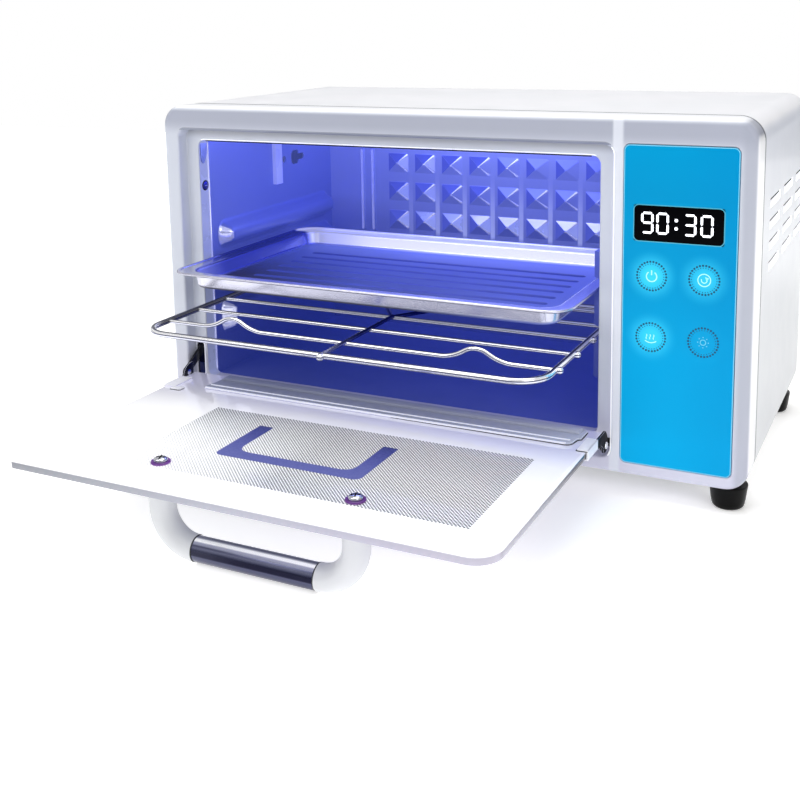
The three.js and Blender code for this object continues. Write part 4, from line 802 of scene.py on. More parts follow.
def grain_height(shader: Shader, grain: Grain, size: float) -> Socket:
    """The height socket of one kind of relief, from 0 to 1.

    Args:
        shader: the material under way.
        grain: the kind of relief.
        size: its size in millimetres.

    Returns:
        The socket.
    """
    fine = 1 / (size * MM)
    if grain is Grain.BRUSHED_X:
        return shader.noise(shader.scaled(0.02, 1.0, 1.0), fine, 4.0, 0.6)
    if grain is Grain.POWDER:
        return shader.even(fine * 0.7, 1.5, 0.4)
    if grain is Grain.CAST:
        return shader.even(fine * 0.5, 5.0, 0.65)
    return shader.even(fine, 2.0)


def plain_finish(finish: Finish) -> Material:
    """A finish as a material with colour variation, relief and patches of wear.

    Args:
        finish: the finish.

    Returns:
        The material.
    """
    shader = Shader(finish.name)
    soft = shader.even(22.0, 3.0)
    tint = shader.mix(shader.span(soft, 0.35, 0.65), srgb(finish.colour), srgb(finish.second))
    shader.colour(tint)
    patches = shader.even(60.0, 4.0)
    low, high = max(finish.rough - finish.wear, 0.02), min(finish.rough + finish.wear, 1.0)
    shader.rough(shader.worn(patches, low, high))
    shader.base(Metallic=finish.metal, Coat_Weight=finish.coat, Coat_Roughness=0.08,
                Specular_IOR_Level=finish.gloss)
    if finish.glow > 0:
        shader.base(Emission_Color=(*srgb(finish.light), 1.0), Emission_Strength=finish.glow)
    if finish.grain is not Grain.NONE:
        shader.bump(grain_height(shader, finish.grain, finish.size), finish.depth)
    return shader.material


FINISHES = {
    "shell": Finish("shell_white", "f6f6f9", "f3f4f7", 0.36, 0.0, Grain.POWDER, 0.5, 0.04, 0.15),
    "zinc": Finish("zinc_sheet", "b4b8c0", "9ea3ad", 0.36, 0.9, Grain.BRUSHED_X, 0.3, 0.08),
    "dark": Finish("dark_plastic", "1a1b20", "24262c", 0.5, 0.0, Grain.MOULDED, 0.4, 0.12),
    "board": Finish("circuit_board", "1c6343", "237a53", 0.45, 0.0, Grain.MOULDED, 1.5, 0.1, 0.2),
    "copper": Finish("touch_copper", "b9824e", "a8713e", 0.3, 1.0, Grain.BRUSHED_X, 0.2, 0.1),
    "white": Finish("white_plastic", "dfe1e3", "dcdee1", 0.32, 0.0, Grain.MOULDED, 0.5, 0.015, 0.2,
                    wear=0.02),
    # lamp holders: painted light, a blue tint and glow for the lamp's light on white plastic
    "holder": Finish("holder_lamp_lit", "c9cdf6", "b9bff2", 0.3, 0.0, Grain.MOULDED, 0.5, 0.02, 0.3,
                     glow=0.35, light="8f9bf0"),
    # clips: white, with a faint painted glow that lightens them
    "clip": Finish("clip_white", "f1f1f7", "e7e8f1", 0.5, 0.0, Grain.POWDER, 0.4, 0.03, 0.05,
                   glow=0.12, light="eef0fa", gloss=0.2),
    "chrome": Finish("bright_plate", "eceef4", "dfe2ea", 0.06, 1.0, Grain.CAST, 2.0, 0.006, 0.0, wear=0.02),
    # painted highlight: a glowing bright finish on lit folds, rail ends, ribs and ridges
    "glint": Finish("painted_glint", "eef0ff", "d9dcff", 0.18, 0.7, Grain.CAST, 1.0, 0.02, 0.2,
                    glow=0.25, light="aab2ff"),
    "purple": Finish("purple_washer", "6f2d93", "5c2480", 0.36, 0.0, Grain.MOULDED, 0.3, 0.05, 0.35),
    "pink": Finish("washer_edge", "a86fc4", "9558b6", 0.3, 0.0, Grain.MOULDED, 0.3, 0.05, 0.35),
    "link": Finish("black_steel", "17181f", "23252e", 0.3, 0.6, Grain.CAST, 0.8, 0.04, 0.3),
    # painted highlight: bright metal on the lit edges of the link arm, the right ear and the jamb screws'
    # slits
    "edge": Finish("painted_edge_glint", "d8dae6", "c2c5d6", 0.22, 0.8, Grain.CAST, 0.5, 0.05),
    # painted shade: black sheets, wires and marks laid where gaps, recesses and outlines lie in shade
    "painted_shade": Finish("black_painted_shade", "0d0d14", "16161f", 0.6, 0.0, Grain.MOULDED, 0.4, 0.1, gloss=0.1),
    # painted light: a glowing white on the louvre blades and the recess's lit right wall
    "painted_light": Finish("painted_light_white", "fafbfe", "f4f5f9", 0.4, 0.0, Grain.POWDER, 0.5, 0.02, 0.1,
                   glow=0.5, light="f4f6fb"),
    # painted light: the pale glowing tone of the pyramids' lit facets
    "facet": Finish("facet_lit", "aab4e8", "9ca8e2", 0.3, 0.4, Grain.CAST, 2.0, 0.02, 0.1,
                    glow=0.4, light="98a4e4"),
    # painted shade: the darker glowing tone of the pyramids' shaded facets
    "deep": Finish("facet_shaded", "606dbe", "5865b6", 0.55, 0.2, Grain.CAST, 2.0, 0.02,
                   glow=0.34, light="5a67be", gloss=0.2),
    # painted shade: the dark lines that the tray's ribs show, glowing with the lamp's painted light
    "rib": Finish("tray_rib_shaded", "3a468e", "353f84", 0.5, 0.2, Grain.CAST, 1.0, 0.02,
                  glow=0.32, light="38448e"),
    # painted light: the lamp's light on the jamb at the opening's left, as colour and glow
    "lip": Finish("lit_lip", "b4bbdb", "a4acd0", 0.3, 0.1, Grain.MOULDED, 0.5, 0.02, 0.2,
                  glow=0.28, light="a2abc8"),
    "shade": Finish("shaded_edge", "8f94a4", "868b9c", 0.35, 0.0, Grain.MOULDED, 0.5, 0.02, 0.1),
    # painted light: the lamp's bluish light on the tab by the opening, as colour and glow
    "lamp_tab": Finish("lip_tab_lamp_lit", "7f8cd0", "7480c6", 0.3, 0.2, Grain.MOULDED, 0.5, 0.02, 0.2,
                       glow=0.3, light="7a88d0"),
    # painted highlight: glowing white lines on lit edges and rims
    "edge_highlight": Finish("lit_edge_highlight", "eef0fb", "e4e7f6", 0.3, 0.1, Grain.POWDER, 0.4, 0.02, 0.2,
                  glow=0.35, light="eef0fb"),
    "jamb": Finish("jamb_screw_blue", "3c409c", "2b2f7c", 0.25, 0.8, Grain.CAST, 0.6, 0.05, 0.2),
    "rubber": Finish("foot_rubber", "020202", "050506", 0.3, 0.0, Grain.MOULDED, 0.4, 0.05, gloss=0.12),
    "lamp": Finish("lamp_glow", "aab4ff", "98a4ff", 0.1, 0.0, Grain.NONE, glow=4.0, light="8f9bff"),
}


@dataclass
class Workshop:
    """Keeps the frame and the materials that pieces share.

    Attributes:
        materials: finished materials by name.
    """

    frame: dict
    materials: dict[str, Material] = field(default_factory=dict)

    def finish(self, name: str) -> Material:
        """The material of a plain finish, made once.

        Args:
            name: the finish's key.

        Returns:
            The material.
        """
        if name not in self.materials:
            self.materials[name] = plain_finish(FINISHES[name])
        return self.materials[name]

    def finishes(self, *names: str) -> list[Material]:
        """The materials of several plain finishes."""
        return [self.finish(name) for name in names]

    def special(self, maker: Callable[[], Material]) -> Material:
        """The material that a function makes, made once.

        Args:
            maker: the function.

        Returns:
            The material.
        """
        name = maker.__name__
        if name not in self.materials:
            self.materials[name] = maker()
        return self.materials[name]

    def ink(self, name: str, code: str, rough: float = 0.4, glow: float = 0.0) -> Material:
        """A printed ink with a fine screen-print grain, also used for lit marks and a painted highlight.

        Args:
            name: the material's name.
            code: its colour.
            rough: its roughness.
            glow: emission strength.

        Returns:
            The material, made once.
        """
        if name not in self.materials:
            shader = Shader(name)
            soft = shader.even(900.0, 2.0)
            colour = srgb(code)
            shader.colour(shader.mix(soft, tuple(v * 0.86 for v in colour), colour))
            shader.base(Roughness=rough, Specular_IOR_Level=0.3 if sum(colour) > 0.05 else 0.02)
            if glow > 0:
                shader.base(Emission_Color=(*colour, 1.0), Emission_Strength=glow)
            self.materials[name] = shader.material
        return self.materials[name]

    def dress(self, material: Material, nodes: Iterable[str], bevel: float = 0.0) -> None:
        """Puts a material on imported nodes.

        Args:
            material: what they wear.
            nodes: their names.
            bevel: width of a softening of their edges in millimetres, or 0 for none.
        """
        for name in nodes:
            piece = self.frame["nodes"][name]
            piece.data.materials.clear()
            piece.data.materials.append(material)
            if bevel > 0:
                soft = piece.modifiers.new("soft_edges", "BEVEL")
                soft.width = bevel * MM
                soft.segments = 2
                soft.limit_method = "ANGLE"
                soft.angle_limit = math.radians(40)


@dataclass
class Assembly:
    """A sub-assembly that builds its own pieces.

    Attributes:
        shop: the frame and the shared materials.
    """

    shop: Workshop


@dataclass
class PhotoCamera:
    """The photograph's viewpoint, fitted to the edges of body, door and recess.

    Attributes:
        focal: focal length in pixels of an 800 pixel frame.
        place: the camera's place in drawing millimetres.
        turn: its rotation about X, Y and Z in degrees.
        middle: the height of the optical middle in pixels from the top.
        frame: width and height of the picture in pixels.
        sensor: width of the sensor in millimetres.
        near: the nearest distance that the camera sees, in metres.
    """

    focal: float = 1129.3
    place: Point = (257.5, -550.6, 237.7)
    turn: Point = (80.767, 0.966, 26.18)
    middle: float = 200.0
    frame: int = 800
    sensor: float = 36.0
    near: float = 0.01

    def build(self) -> None:
        """Makes the camera and sets it on the scene."""
        data = bpy.data.cameras.new("photo_camera")
        data.sensor_width = self.sensor
        data.lens = self.focal * self.sensor / self.frame
        data.shift_y = -(self.frame / 2 - self.middle) / self.frame
        data.clip_start = self.near
        camera = bpy.data.objects.new("photo_camera", data)
        bpy.context.collection.objects.link(camera)
        camera.location = row(*self.place)
        camera.rotation_euler = [math.radians(a) for a in self.turn]
        bpy.context.scene.camera = camera


@dataclass
class Studio:
    """The plain pale floor and the soft light.

    Attributes:
        floor_z: height of the floor under the feet in drawing millimetres.
        dip: how far the floor sinks in front, under the handle.
        slope: where its slope starts and how far it reaches forward.
        key: strength of the large light.
    """

    floor_z: float = -12.25
    dip: float = 14.4
    slope: Spot = (-25.0, 70.0)
    key: float = 3.0

    def build(self) -> None:
        """Makes floor, lights and surroundings."""
        self._floor()
        self._light("key_light", (-420, -700, 900), (0, 0, 80), 700, self.key)
        self._light("fill_light", (800, -600, 500), (60, 60, 60), 600, self.key * 0.45)
        self._light("top_light", (0, 100, 1100), (0, 60, 0), 900, self.key * 2.2)
        self._light("chamber_light", (-30, 70, 160), (-30, 90, 0), 150, 0.06, (0.62, 0.66, 1.0))
        self._surroundings()

    def _floor(self) -> None:
        """A wide sheet that sinks a little in front of the body."""
        bm = bmesh.new()
        bmesh.ops.create_grid(bm, x_segments=4, y_segments=60, size=1.0)
        bmesh.ops.scale(bm, vec=(3000, 1200, 1), verts=bm.verts)
        bmesh.ops.translate(bm, vec=(0, 300, self.floor_z), verts=bm.verts)
        for vert in bm.verts:
            fall = min(max((self.slope[0] - vert.co.y) / self.slope[1], 0.0), 1.0)
            vert.co.z -= self.dip * fall * fall * (3 - 2 * fall)
        bmesh.ops.transform(bm, matrix=ROW, verts=bm.verts)
        mesh = bpy.data.meshes.new("floor")
        bm.to_mesh(mesh)
        bm.free()
        mesh.polygons.foreach_set("use_smooth", [True] * len(mesh.polygons))
        floor = bpy.data.objects.new("floor", mesh)
        bpy.context.collection.objects.link(floor)
        shader = Shader("floor_white")
        soft = shader.even(3.0, 2.0)
        tone = shader.mix(soft, (0.95, 0.945, 0.93), (0.96, 0.955, 0.94))
        shader.colour(tone)
        outside = shader.span(shader.away("X", "Y", 0.0, 60.0), 330.0, 640.0)
        # painted light: the floor glows more in front of the body, lightening the shadow under the handle
        front_glow = shader.span(shader.across("Y", -40, -110), 0, 1, 0.36, 0.66, smooth=False)
        shader.glow(tone, shader.math("MAXIMUM", outside, front_glow))
        shader.base(Roughness=0.8)
        mesh.materials.append(shader.material)

    @staticmethod
    def _light(name: str, place: Point, target: Point, size: float, power: float,
               colour: Colour = (1.0, 1.0, 1.0)) -> None:
        """One round soft light.

        Args:
            name: its name.
            place: where it hangs, in drawing millimetres.
            target: the place that it looks at.
            size: its diameter.
            power: its strength in watts.
            colour: its colour.
        """
        data = bpy.data.lights.new(name, "AREA")
        data.shape = "DISK"
        data.size = size * MM
        data.energy = power
        data.color = colour
        lamp = bpy.data.objects.new(name, data)
        bpy.context.collection.objects.link(lamp)
        lamp.location = row(*place)
        toward = row(*target) - lamp.location
        lamp.rotation_euler = toward.to_track_quat("-Z", "Y").to_euler()

    @staticmethod
    def _surroundings() -> None:
        """A white room with a darker band round its horizon, which bright metal shows as dark lines."""
        world = bpy.data.worlds.new("studio")
        world.use_nodes = True
        tree = world.node_tree
        tree.nodes.clear()
        kinds = ("OutputWorld", "Background", "Background", "TexCoord", "SeparateXYZ", "MapRange", "ValToRGB",
                 "LightPath", "MixShader")
        out, white, room, way, split, lift, ramp, path, mix = (tree.nodes.new("ShaderNode" + kind)
                                                               for kind in kinds)
        white.inputs[0].default_value = (1.0, 1.0, 1.0, 1.0)
        lift.inputs["From Min"].default_value = -1.0
        stops = ((0.0, 0.62), (0.42, 0.62), (0.47, 0.05), (0.54, 0.04), (0.62, 0.75), (0.8, 0.5), (1.0, 0.42))
        while len(ramp.color_ramp.elements) < len(stops):
            ramp.color_ramp.elements.new(0.5)
        for element, (where, tone) in zip(ramp.color_ramp.elements, stops):
            element.position = where
            element.color = (tone, tone, tone * 1.02, 1.0)
        pairs = ((way.outputs["Generated"], split.inputs[0]), (split.outputs["Z"], lift.inputs["Value"]),
                 (lift.outputs[0], ramp.inputs[0]), (ramp.outputs[0], room.inputs[0]),
                 (path.outputs["Is Camera Ray"], mix.inputs[0]), (room.outputs[0], mix.inputs[1]),
                 (white.outputs[0], mix.inputs[2]), (mix.outputs[0], out.inputs[0]))
        for source, target in pairs:
            tree.links.new(source, target)
        bpy.context.scene.world = world
        bpy.context.scene.view_settings.view_transform = "Standard"


# the back wall's pyramids: middle of the first, distance to the next, and half their size, along X and Z
PYRAMID = (-98.9, 93.3)
PYRAMID_PITCH = (20.9, 20.6)
PYRAMID_HALF = (7.7, 6.5)


def chamber_steel() -> Material:
    """Pressed chamber sheet with the lamp's violet blue light painted in: a glow that darkens downwards."""
    shader = Shader("chamber_steel")
    up = shader.across("Z", 16, 172, False)
    stops = [(0.0, "27378a"), (0.28, "313f98"), (0.5, "4553ac"), (0.72, "5a6ac2"), (1.0, "6f7ed2")]
    tone = shader.ramp(up, stops)
    shader.colour(shader.mix(0.4, tone, srgb("8e98d0")))
    shader.glow(tone, 0.34)
    patches = shader.even(25.0, 3.0)
    shader.rough(shader.worn(patches, 0.4, 0.48))
    shader.base(Metallic=0.4)
    shader.bump(grain_height(shader, Grain.CAST, 6.0), 0.02)
    return shader.material


def back_steel() -> Material:
    """Pressed back sheet with painted light: a glow darkening downwards and streaks between its pyramids."""
    shader = Shader("back_steel")
    up = shader.across("Z", 16, 172, False)
    stops = [(0.0, "27378a"), (0.28, "313f98"), (0.48, "525fb4"), (0.6, "707dcc"), (1.0, "8290da")]
    tone = shader.ramp(up, stops)
    start, columns = -108.0, 40
    along = shader.across("X", start, start + PYRAMID_PITCH[0] * columns, False)
    place = shader.math("FRACT", shader.math("DIVIDE", along, 1 / columns))
    streak = shader.times(shader.span(place, 0.79, 0.83), shader.span(place, 0.98, 0.94))
    area = shader.times(shader.across("Z", 82, 86), shader.across("Z", 136, 98))
    area = shader.times(area, shader.across("X", -112, -60))
    lit = shader.tinted(tone, "b8c2f2", shader.times(streak, area), 0.8)
    shader.colour(shader.mix(0.45, lit, srgb("a0a9dc")))
    shader.glow(lit, 0.34)
    shader.base(Metallic=0.6, Roughness=0.42)
    shader.bump(grain_height(shader, Grain.CAST, 6.0), 0.015)
    return shader.material


@dataclass
class Chamber(Assembly):
    """The pressed chamber walls.

    Attributes:
        left: inner face of the left wall.
        right: inner face of the right wall.
        floor: height of the floor.
        roof: height of the roof.
        front: front edge of the walls.
        back: inner face of the back wall.
        reach: how far the rails stand out.
        rails: lowest and highest places of the rails.
        screw: place of the jamb screws in depth and height.
    """

    left: float = -154.8
    right: float = 94.8
    floor: float = 16.0
    roof: float = 177.0
    front: float = 17.6
    back: float = 168.0
    reach: float = 8.4
    rails: tuple = ((40.0, 63.0), (69.0, 90.7), (95.5, 112.0))
    screw: Spot = (13.6, 137.0)

    def build(self) -> None:
        """Makes left wall and back wall and dresses the others."""
        steel = self.shop.special(chamber_steel)
        self._side()
        self._back()
        self.shop.dress(steel, ["cavity_roof", "cavity_floor"])
        self.shop.dress(steel, ["cavity_right_wall"], 0.4)
        # the lamp holders wear the lamp's light painted on as a glow
        self.shop.dress(self.shop.finish("holder"), ["lamp_holder_left", "lamp_holder_right"], 0.5)
        self.shop.dress(self.shop.finish("lamp"), ["uv_lamp"], 0.3)
        self._jamb_screw(-1, self.left, "left")
        self._jamb_screw(1, self.right, "right")

    def _jamb_screw(self, side: int, face: float, label: str) -> None:
        """A screw by the door; its bright slit is a painted highlight and its dark ring painted shade.

        Args:
            side: -1 for the left wall, 1 for the right one.
            face: the wall's inner face.
            label: the side in words.
        """
        y, z = self.screw
        piece = Piece(f"jamb_fixing_{label}", Facing.SIDE)
        profile = [(0.0, 0.15), (1.0, 0.12), (1.8, -0.05), (2.4, -0.35), (2.5, -0.6), (1.3, -0.7),
                   (1.3, -4.6), (0.0, -4.9)]
        piece.turned([(radius, -height * side) for radius, height in profile], (face, y, z), Axis.X, 24)
        slit = Oblong(y - 1.7, y + 1.7, z - 0.35, z + 0.35)
        piece.slab(slit, face - side * 0.05, face - side * 0.2, 0.0, 1)
        ring = [(0.0, 0.0), (3.2, 0.0), (3.2, side * 0.12), (0.0, side * 0.12)]
        piece.turned(ring, (face + side * 0.66, y, z), Axis.X, 24, 2)
        finishes = self.shop.finishes("jamb", "edge", "painted_shade")
        piece.done(Body.CABINET, finishes, [f"jamb_screw_{label}"], "bright_metal")

    def _side(self) -> None:
        """The left wall with its soft rails, its holes and its folded front edge."""
        piece = Piece("pressed_side_wall", Facing.SIDE)
        outline = piece.loop(Oblong(self.front, self.back, self.floor, self.roof), self.left)
        holes = []
        for low, high in self.rails:
            rail = Oblong(24.0, 162.0, low, high, 7.0, 6)
            layers = [(1.7, 0.0), (1.2, 0.0), (0.3, 0.35), (-1.0, 1.8), (-2.4, 4.4), (-3.8, 6.9), (-5.4, 8.1),
                      (-7.2, self.reach)]
            holes += piece.stack([(rail.grown(by), self.left + out) for by, out in layers], last=True)[0]
        holes += piece.circle(104.2, 142.2, self.left, 2.3, 16)
        keyhole = Shape(((113.4, 137.4), (122.4, 137.4), (123.0, 140.0), (130.0, 140.0), (130.0, 144.2),
                         (123.0, 144.2), (122.4, 147.0), (113.4, 147.0)),
                        (3.4, 1.6, 0.6, 1.6, 1.6, 0.6, 1.6, 3.4), 4)
        holes += piece.loop(keyhole, self.left)
        piece.fill(outline + holes)
        # the rails' front ends get a painted highlight
        for face in piece.bm.faces:
            face.normal_update()
            if abs(face.normal.y) > 0.55 and face.calc_center_median().y < 60:
                face.material_index = 1
        finishes = [self.shop.special(chamber_steel), self.shop.finish("glint")]
        piece.done(Body.CABINET, finishes, ["cavity_left_wall"], "cavity_steel", 50, wall=0.8, seen=(1, 0, 0))
        # a glowing bright wire paints the highlight along the wall's folded front edge
        fold = Piece("side_wall_fold")
        fold.wire([(self.left - 0.3, 17.2, 18.0), (self.left - 0.3, 17.2, 163.5)], 0.55, sides=10)
        fold.done(Body.CABINET, self.shop.finishes("glint"), (), "cavity_steel")
        tab = Piece("side_wall_tab", Facing.SIDE)
        tab.slab(Oblong(11.0, 18.4, 128.0, 146.0, 1.2, 4), -157.4, -156.4, 0.15)
        tab.done(Body.CABINET, [self.shop.special(chamber_steel)], (), "cavity_steel")

    @staticmethod
    def _facet(x: float, z: float, by: float, radius: float) -> Shape:
        """One level of a pyramid, its right corners rounded into ridges.

        Args:
            x: the pyramid's middle along X.
            z: its middle along Z.
            by: how much larger than its foot the level is; under -6 it is the flat top.
            radius: rounding of the ridges.

        Returns:
            The outline.
        """
        wide, high = (half + by for half in PYRAMID_HALF) if by > -6 else (0.8, 0.6)
        corners = ((x - wide, z - high), (x + wide, z - high), (x + wide, z + high), (x - wide, z + high))
        return Shape(corners, (0.1, radius, radius, 0.1), 2)

    def _light_up(self, face: bmesh.types.BMFace) -> None:
        """Paints highlights on left ribs and ridges, and light and shade on the facets by their side.

        Args:
            face: one face of the back wall.
        """
        spot = face.calc_center_median()
        if spot.y > self.back - 0.9:
            return
        if abs(spot.x + 123.75) < 5.2:
            face.material_index = 1
        column, line = (round((place - first) / pitch) for place, first, pitch in
                        zip((spot.x, spot.z), PYRAMID, PYRAMID_PITCH))
        if not 0 <= column < 8:
            return
        across = (spot.x - PYRAMID[0] - PYRAMID_PITCH[0] * column) / PYRAMID_HALF[0]
        upward = (spot.z - PYRAMID[1] - PYRAMID_PITCH[1] * line) / PYRAMID_HALF[1]
        top = upward > abs(across)
        if abs(abs(across) - abs(upward)) < 0.2 and face.calc_area() < 8:
            face.material_index = 1 if across > 0 and (column < 5 or line < 2) else 0
        elif -across > abs(upward) or (top and column < 4 and (line > 0 or column == 0)):
            face.material_index = 3
        elif across > abs(upward) and (column < 2 or line == 0):
            face.material_index = 2
        elif line == 0 and top and column > 0:
            face.material_index = 1 if column > 2 else 2

    def _back(self) -> None:
        """The back wall with its pyramids and ribs."""
        piece = Piece("pressed_back_wall", Facing.FRONT)
        outline = piece.loop(Oblong(self.left, self.right, self.floor, self.roof), self.back)
        holes = []
        for column in range(8):
            for line in range(3):
                x = PYRAMID[0] + PYRAMID_PITCH[0] * column
                z = PYRAMID[1] + PYRAMID_PITCH[1] * line
                layers = [(self._facet(x, z, by, radius), self.back - out) for by, radius, out in
                          ((0.9, 1.9, 0.0), (0.5, 1.6, 0.0), (0.0, 1.3, 0.15), (-6.9, 0.3, 2.9))]
                holes += piece.stack(layers, last=True)[0]
        for x in (-128.0, -119.5, 59.5, 68.0):
            rib = Oblong(x - 1.5, x + 1.5, 84.0, 144.0, 1.4, 4)
            layers = [(rib.grown(by), self.back - out) for by, out in
                      ((0.7, 0.0), (0.3, 0.0), (0.0, 0.2), (-0.5, 1.1), (-0.9, 1.6))]
            holes += piece.stack(layers, last=True)[0]
        piece.fill(outline + holes)
        for face in piece.bm.faces:
            self._light_up(face)
        finishes = [self.shop.special(back_steel), *self.shop.finishes("glint", "facet", "deep")]
        piece.done(Body.CABINET, finishes, ["cavity_back_wall"], "cavity_steel", 14, wall=0.8)


def frame_plastic() -> Material:
    """Satin blue-grey moulding of the front frame, with painted light and shade in its colour."""
    shader = Shader("frame_plastic")
    soft = shader.even(14.0, 2.0)
    # more lavender towards the bottom
    low = shader.across("Z", 0, 60)
    upper = shader.mix(soft, srgb("cbd0dc"), srgb("d0d5e0"))
    lower = shader.mix(soft, srgb("cfcfe2"), srgb("d5d5e6"))
    tone = shader.mix(low, lower, upper)
    # painted shade: a greyer band along the top of the face
    bar = shader.times(shader.across("Z", 168, 179), shader.across("Z", 185.6, 183.4))
    tone = shader.tinted(tone, "a4a8b8", bar, 0.85)
    # painted shadow of the recess's upper wall on the recess floor below it
    under = shader.times(shader.across("Z", 166.2, 172.3), shader.across("Y", 7.0, 7.9))
    tone = shader.tinted(tone, "8d9098", under, 0.8)
    # painted shade along the rounded right rim
    right = shader.times(shader.across("X", 165.5, 170.0), shader.across("X", 174.9, 173.6))
    tone = shader.tinted(tone, "a6aab9", right, 0.7)
    # painted highlight on the strip between the recess and the panel window
    strip_highlight = shader.times(shader.across("X", 103.5, 105.0), shader.across("X", 110.5, 108.5))
    tone = shader.tinted(tone, "e4e8f2", strip_highlight, 0.8)
    # painted highlight on the rounded top and right rims
    rim_highlight = shader.math("MAXIMUM", shader.across("Z", 184.6, 186.4), shader.across("X", 173.9, 174.9))
    shader.colour(shader.mix(rim_highlight, tone, srgb("f8f9fc")))
    shader.base(Roughness=0.33, Coat_Weight=0.2)
    shader.bump(grain_height(shader, Grain.MOULDED, 0.5), 0.02)
    return shader.material


@dataclass
class FrontFrame(Assembly):
    """The moulded front with its recess, opening and panel window.

    Attributes:
        face: its outline.
        recess: outline of the door's recess.
        opening: outline of the chamber's opening.
        window: outline of the panel's window.
        link_slot: outline of the link arm's slot.
        pin_slot: outline of the right hinge's slot.
        rim: radius of the rounded rim.
        floor: depth of the recess.
    """

    face: Oblong = Oblong(-175.0, 175.0, 0.0, 187.0, 12.5, 12)
    recess: Oblong = Oblong(-164.1, 104.4, 8.0, 172.4, 5.0, 10)
    opening: Oblong = Oblong(-155.5, 95.6, 16.5, 165.7, 4.5, 10)
    window: Oblong = Oblong(109.8, 166.7, 6.8, 173.4, 3.3, 10)
    link_slot: Oblong = Oblong(-163.3, -157.7, 16.5, 38.5, 2.4, 8)
    pin_slot: Oblong = Oblong(98.4, 102.7, 10.6, 15.8, 0.5, 4)
    rim: float = 3.0
    floor: float = 8.0

    def build(self) -> None:
        """Makes the frame and what is set into it."""
        self._moulding()
        self._lip_line()
        self._slot()
        self._tab()

    def _moulding(self) -> None:
        """The moulded face with its recess, opening, window and slots."""
        piece = Piece("frame_moulding", Facing.FRONT)
        layers = [(self.face, 18.0), (self.face, self.rim)]
        for i in range(1, 7):
            a = math.radians(15 * i)
            layers.append((self.face.grown(-self.rim * (1 - math.cos(a))), self.rim * (1 - math.sin(a))))
        layers.append((self.face.grown(-self.rim - 1.0), 0.0))
        face = piece.stack(layers)[-1]
        walls = ((2.2, 0.0), (1.6, 0.0), (0.9, 0.12), (0.35, 0.5), (0.0, 1.3), (-0.2, 6.8), (-0.35, 7.5),
                 (-0.7, 7.9), (-1.2, self.floor))
        recess = piece.stack([(self.recess.grown(by), y) for by, y in walls])
        steps = ((0.8, 0.0), (0.35, 0.0), (0.1, 0.12), (0.0, 0.4), (0.0, 2.0), (-3.0, 2.0))
        window = piece.stack([(self.window.grown(by), y) for by, y in steps])
        piece.fill(face + recess[0] + window[0])
        lips = ((0.8, self.floor), (0.3, 8.12), (0.05, 8.4), (0.0, 8.8), (0.0, 17.0))
        mouth = piece.stack([(self.opening.grown(by), y) for by, y in lips])
        slots = []
        for slot in (self.link_slot, self.pin_slot):
            slots += piece.stack([(slot, self.floor), (slot, 10.0)])[0]
        piece.fill(recess[-1] + mouth[0] + slots)
        for face in piece.bm.faces:
            self._light_up(face)
        finishes = [self.shop.special(frame_plastic), *self.shop.finishes("lip", "painted_light", "shade", "edge_highlight")]
        piece.done(Body.CABINET, finishes, ["front_frame"], "frame_plastic", 50, wall=1.2)

    def _light_up(self, face: bmesh.types.BMFace) -> None:
        """Gives the lines round recess and opening their painted light and painted shade.

        Args:
            face: one face of the moulding.
        """
        x, y, z = face.calc_center_median()
        if abs(x - self.opening.left) < 3 and 9.1 < y < 17.5:
            face.material_index = 1
        if self.recess.right - 1 < x < self.recess.right + 2 and 0.3 < y < 7.9:
            face.material_index = 2
        if self.recess.high < z < self.recess.high + 2 and 0.05 < y < 1.2:
            face.material_index = 3
        if self.opening.high < z < self.opening.high + 0.7 and self.floor < y < 8.5:
            face.material_index = 4

    def _tab(self) -> None:
        """The tab at the opening's upper left, with the lamp's bluish light painted on it, and dark rims."""
        tab = Piece("lip_tab", Facing.SIDE)
        spots = ((9.6, 165.0), (9.6, 152.5), (12.4, 150.0), (16.3, 156.5), (16.3, 165.0))
        shape = Shape(spots, (0.3, 2.0, 2.0, 3.0, 0.3), 5)
        tab.slab(shape, self.opening.left + 0.05, self.opening.left + 0.5, 0.15, 0, 1)
        tab.done(Body.CABINET, self.shop.finishes("lamp_tab", "jamb"), (), "frame_plastic")

    def _lip_line(self) -> None:
        """A dark wire that paints the shade under the opening's upper lip."""
        line = Piece("lip_line")
        line.wire([(-150.5, 9.3, 165.4), (90.5, 9.3, 165.4)], 0.42, sides=8)
        line.done(Body.CABINET, self.shop.finishes("painted_shade"), (), "frame_plastic")

    def _slot(self) -> None:
        """The link arm's slot, with a painted highlight on its rim and painted shade inside it."""
        rim = Piece("slot_rim", Facing.FRONT)
        layers = ((0.0, 9.9), (0.0, 8.0), (0.2, 7.86), (0.5, 7.86), (0.7, 7.95), (0.75, 8.05))
        rim.stack([(self.link_slot.grown(by), y) for by, y in layers])
        for face in rim.bm.faces:
            face.material_index = 1 if face.calc_center_median().y > 8.1 else 0
        rim.done(Body.CABINET, self.shop.finishes("edge_highlight", "painted_shade"), (), "frame_plastic")
        shade = Piece("slot_shade_sheet", Facing.FRONT)
        depths = ((0.05, 9.9), (0.9, 10.1), (0.9, 11.4))
        shade.stack([(self.link_slot.grown(by), y) for by, y in depths])
        shade.done(Body.CABINET, self.shop.finishes("painted_shade"), (), "frame_plastic")


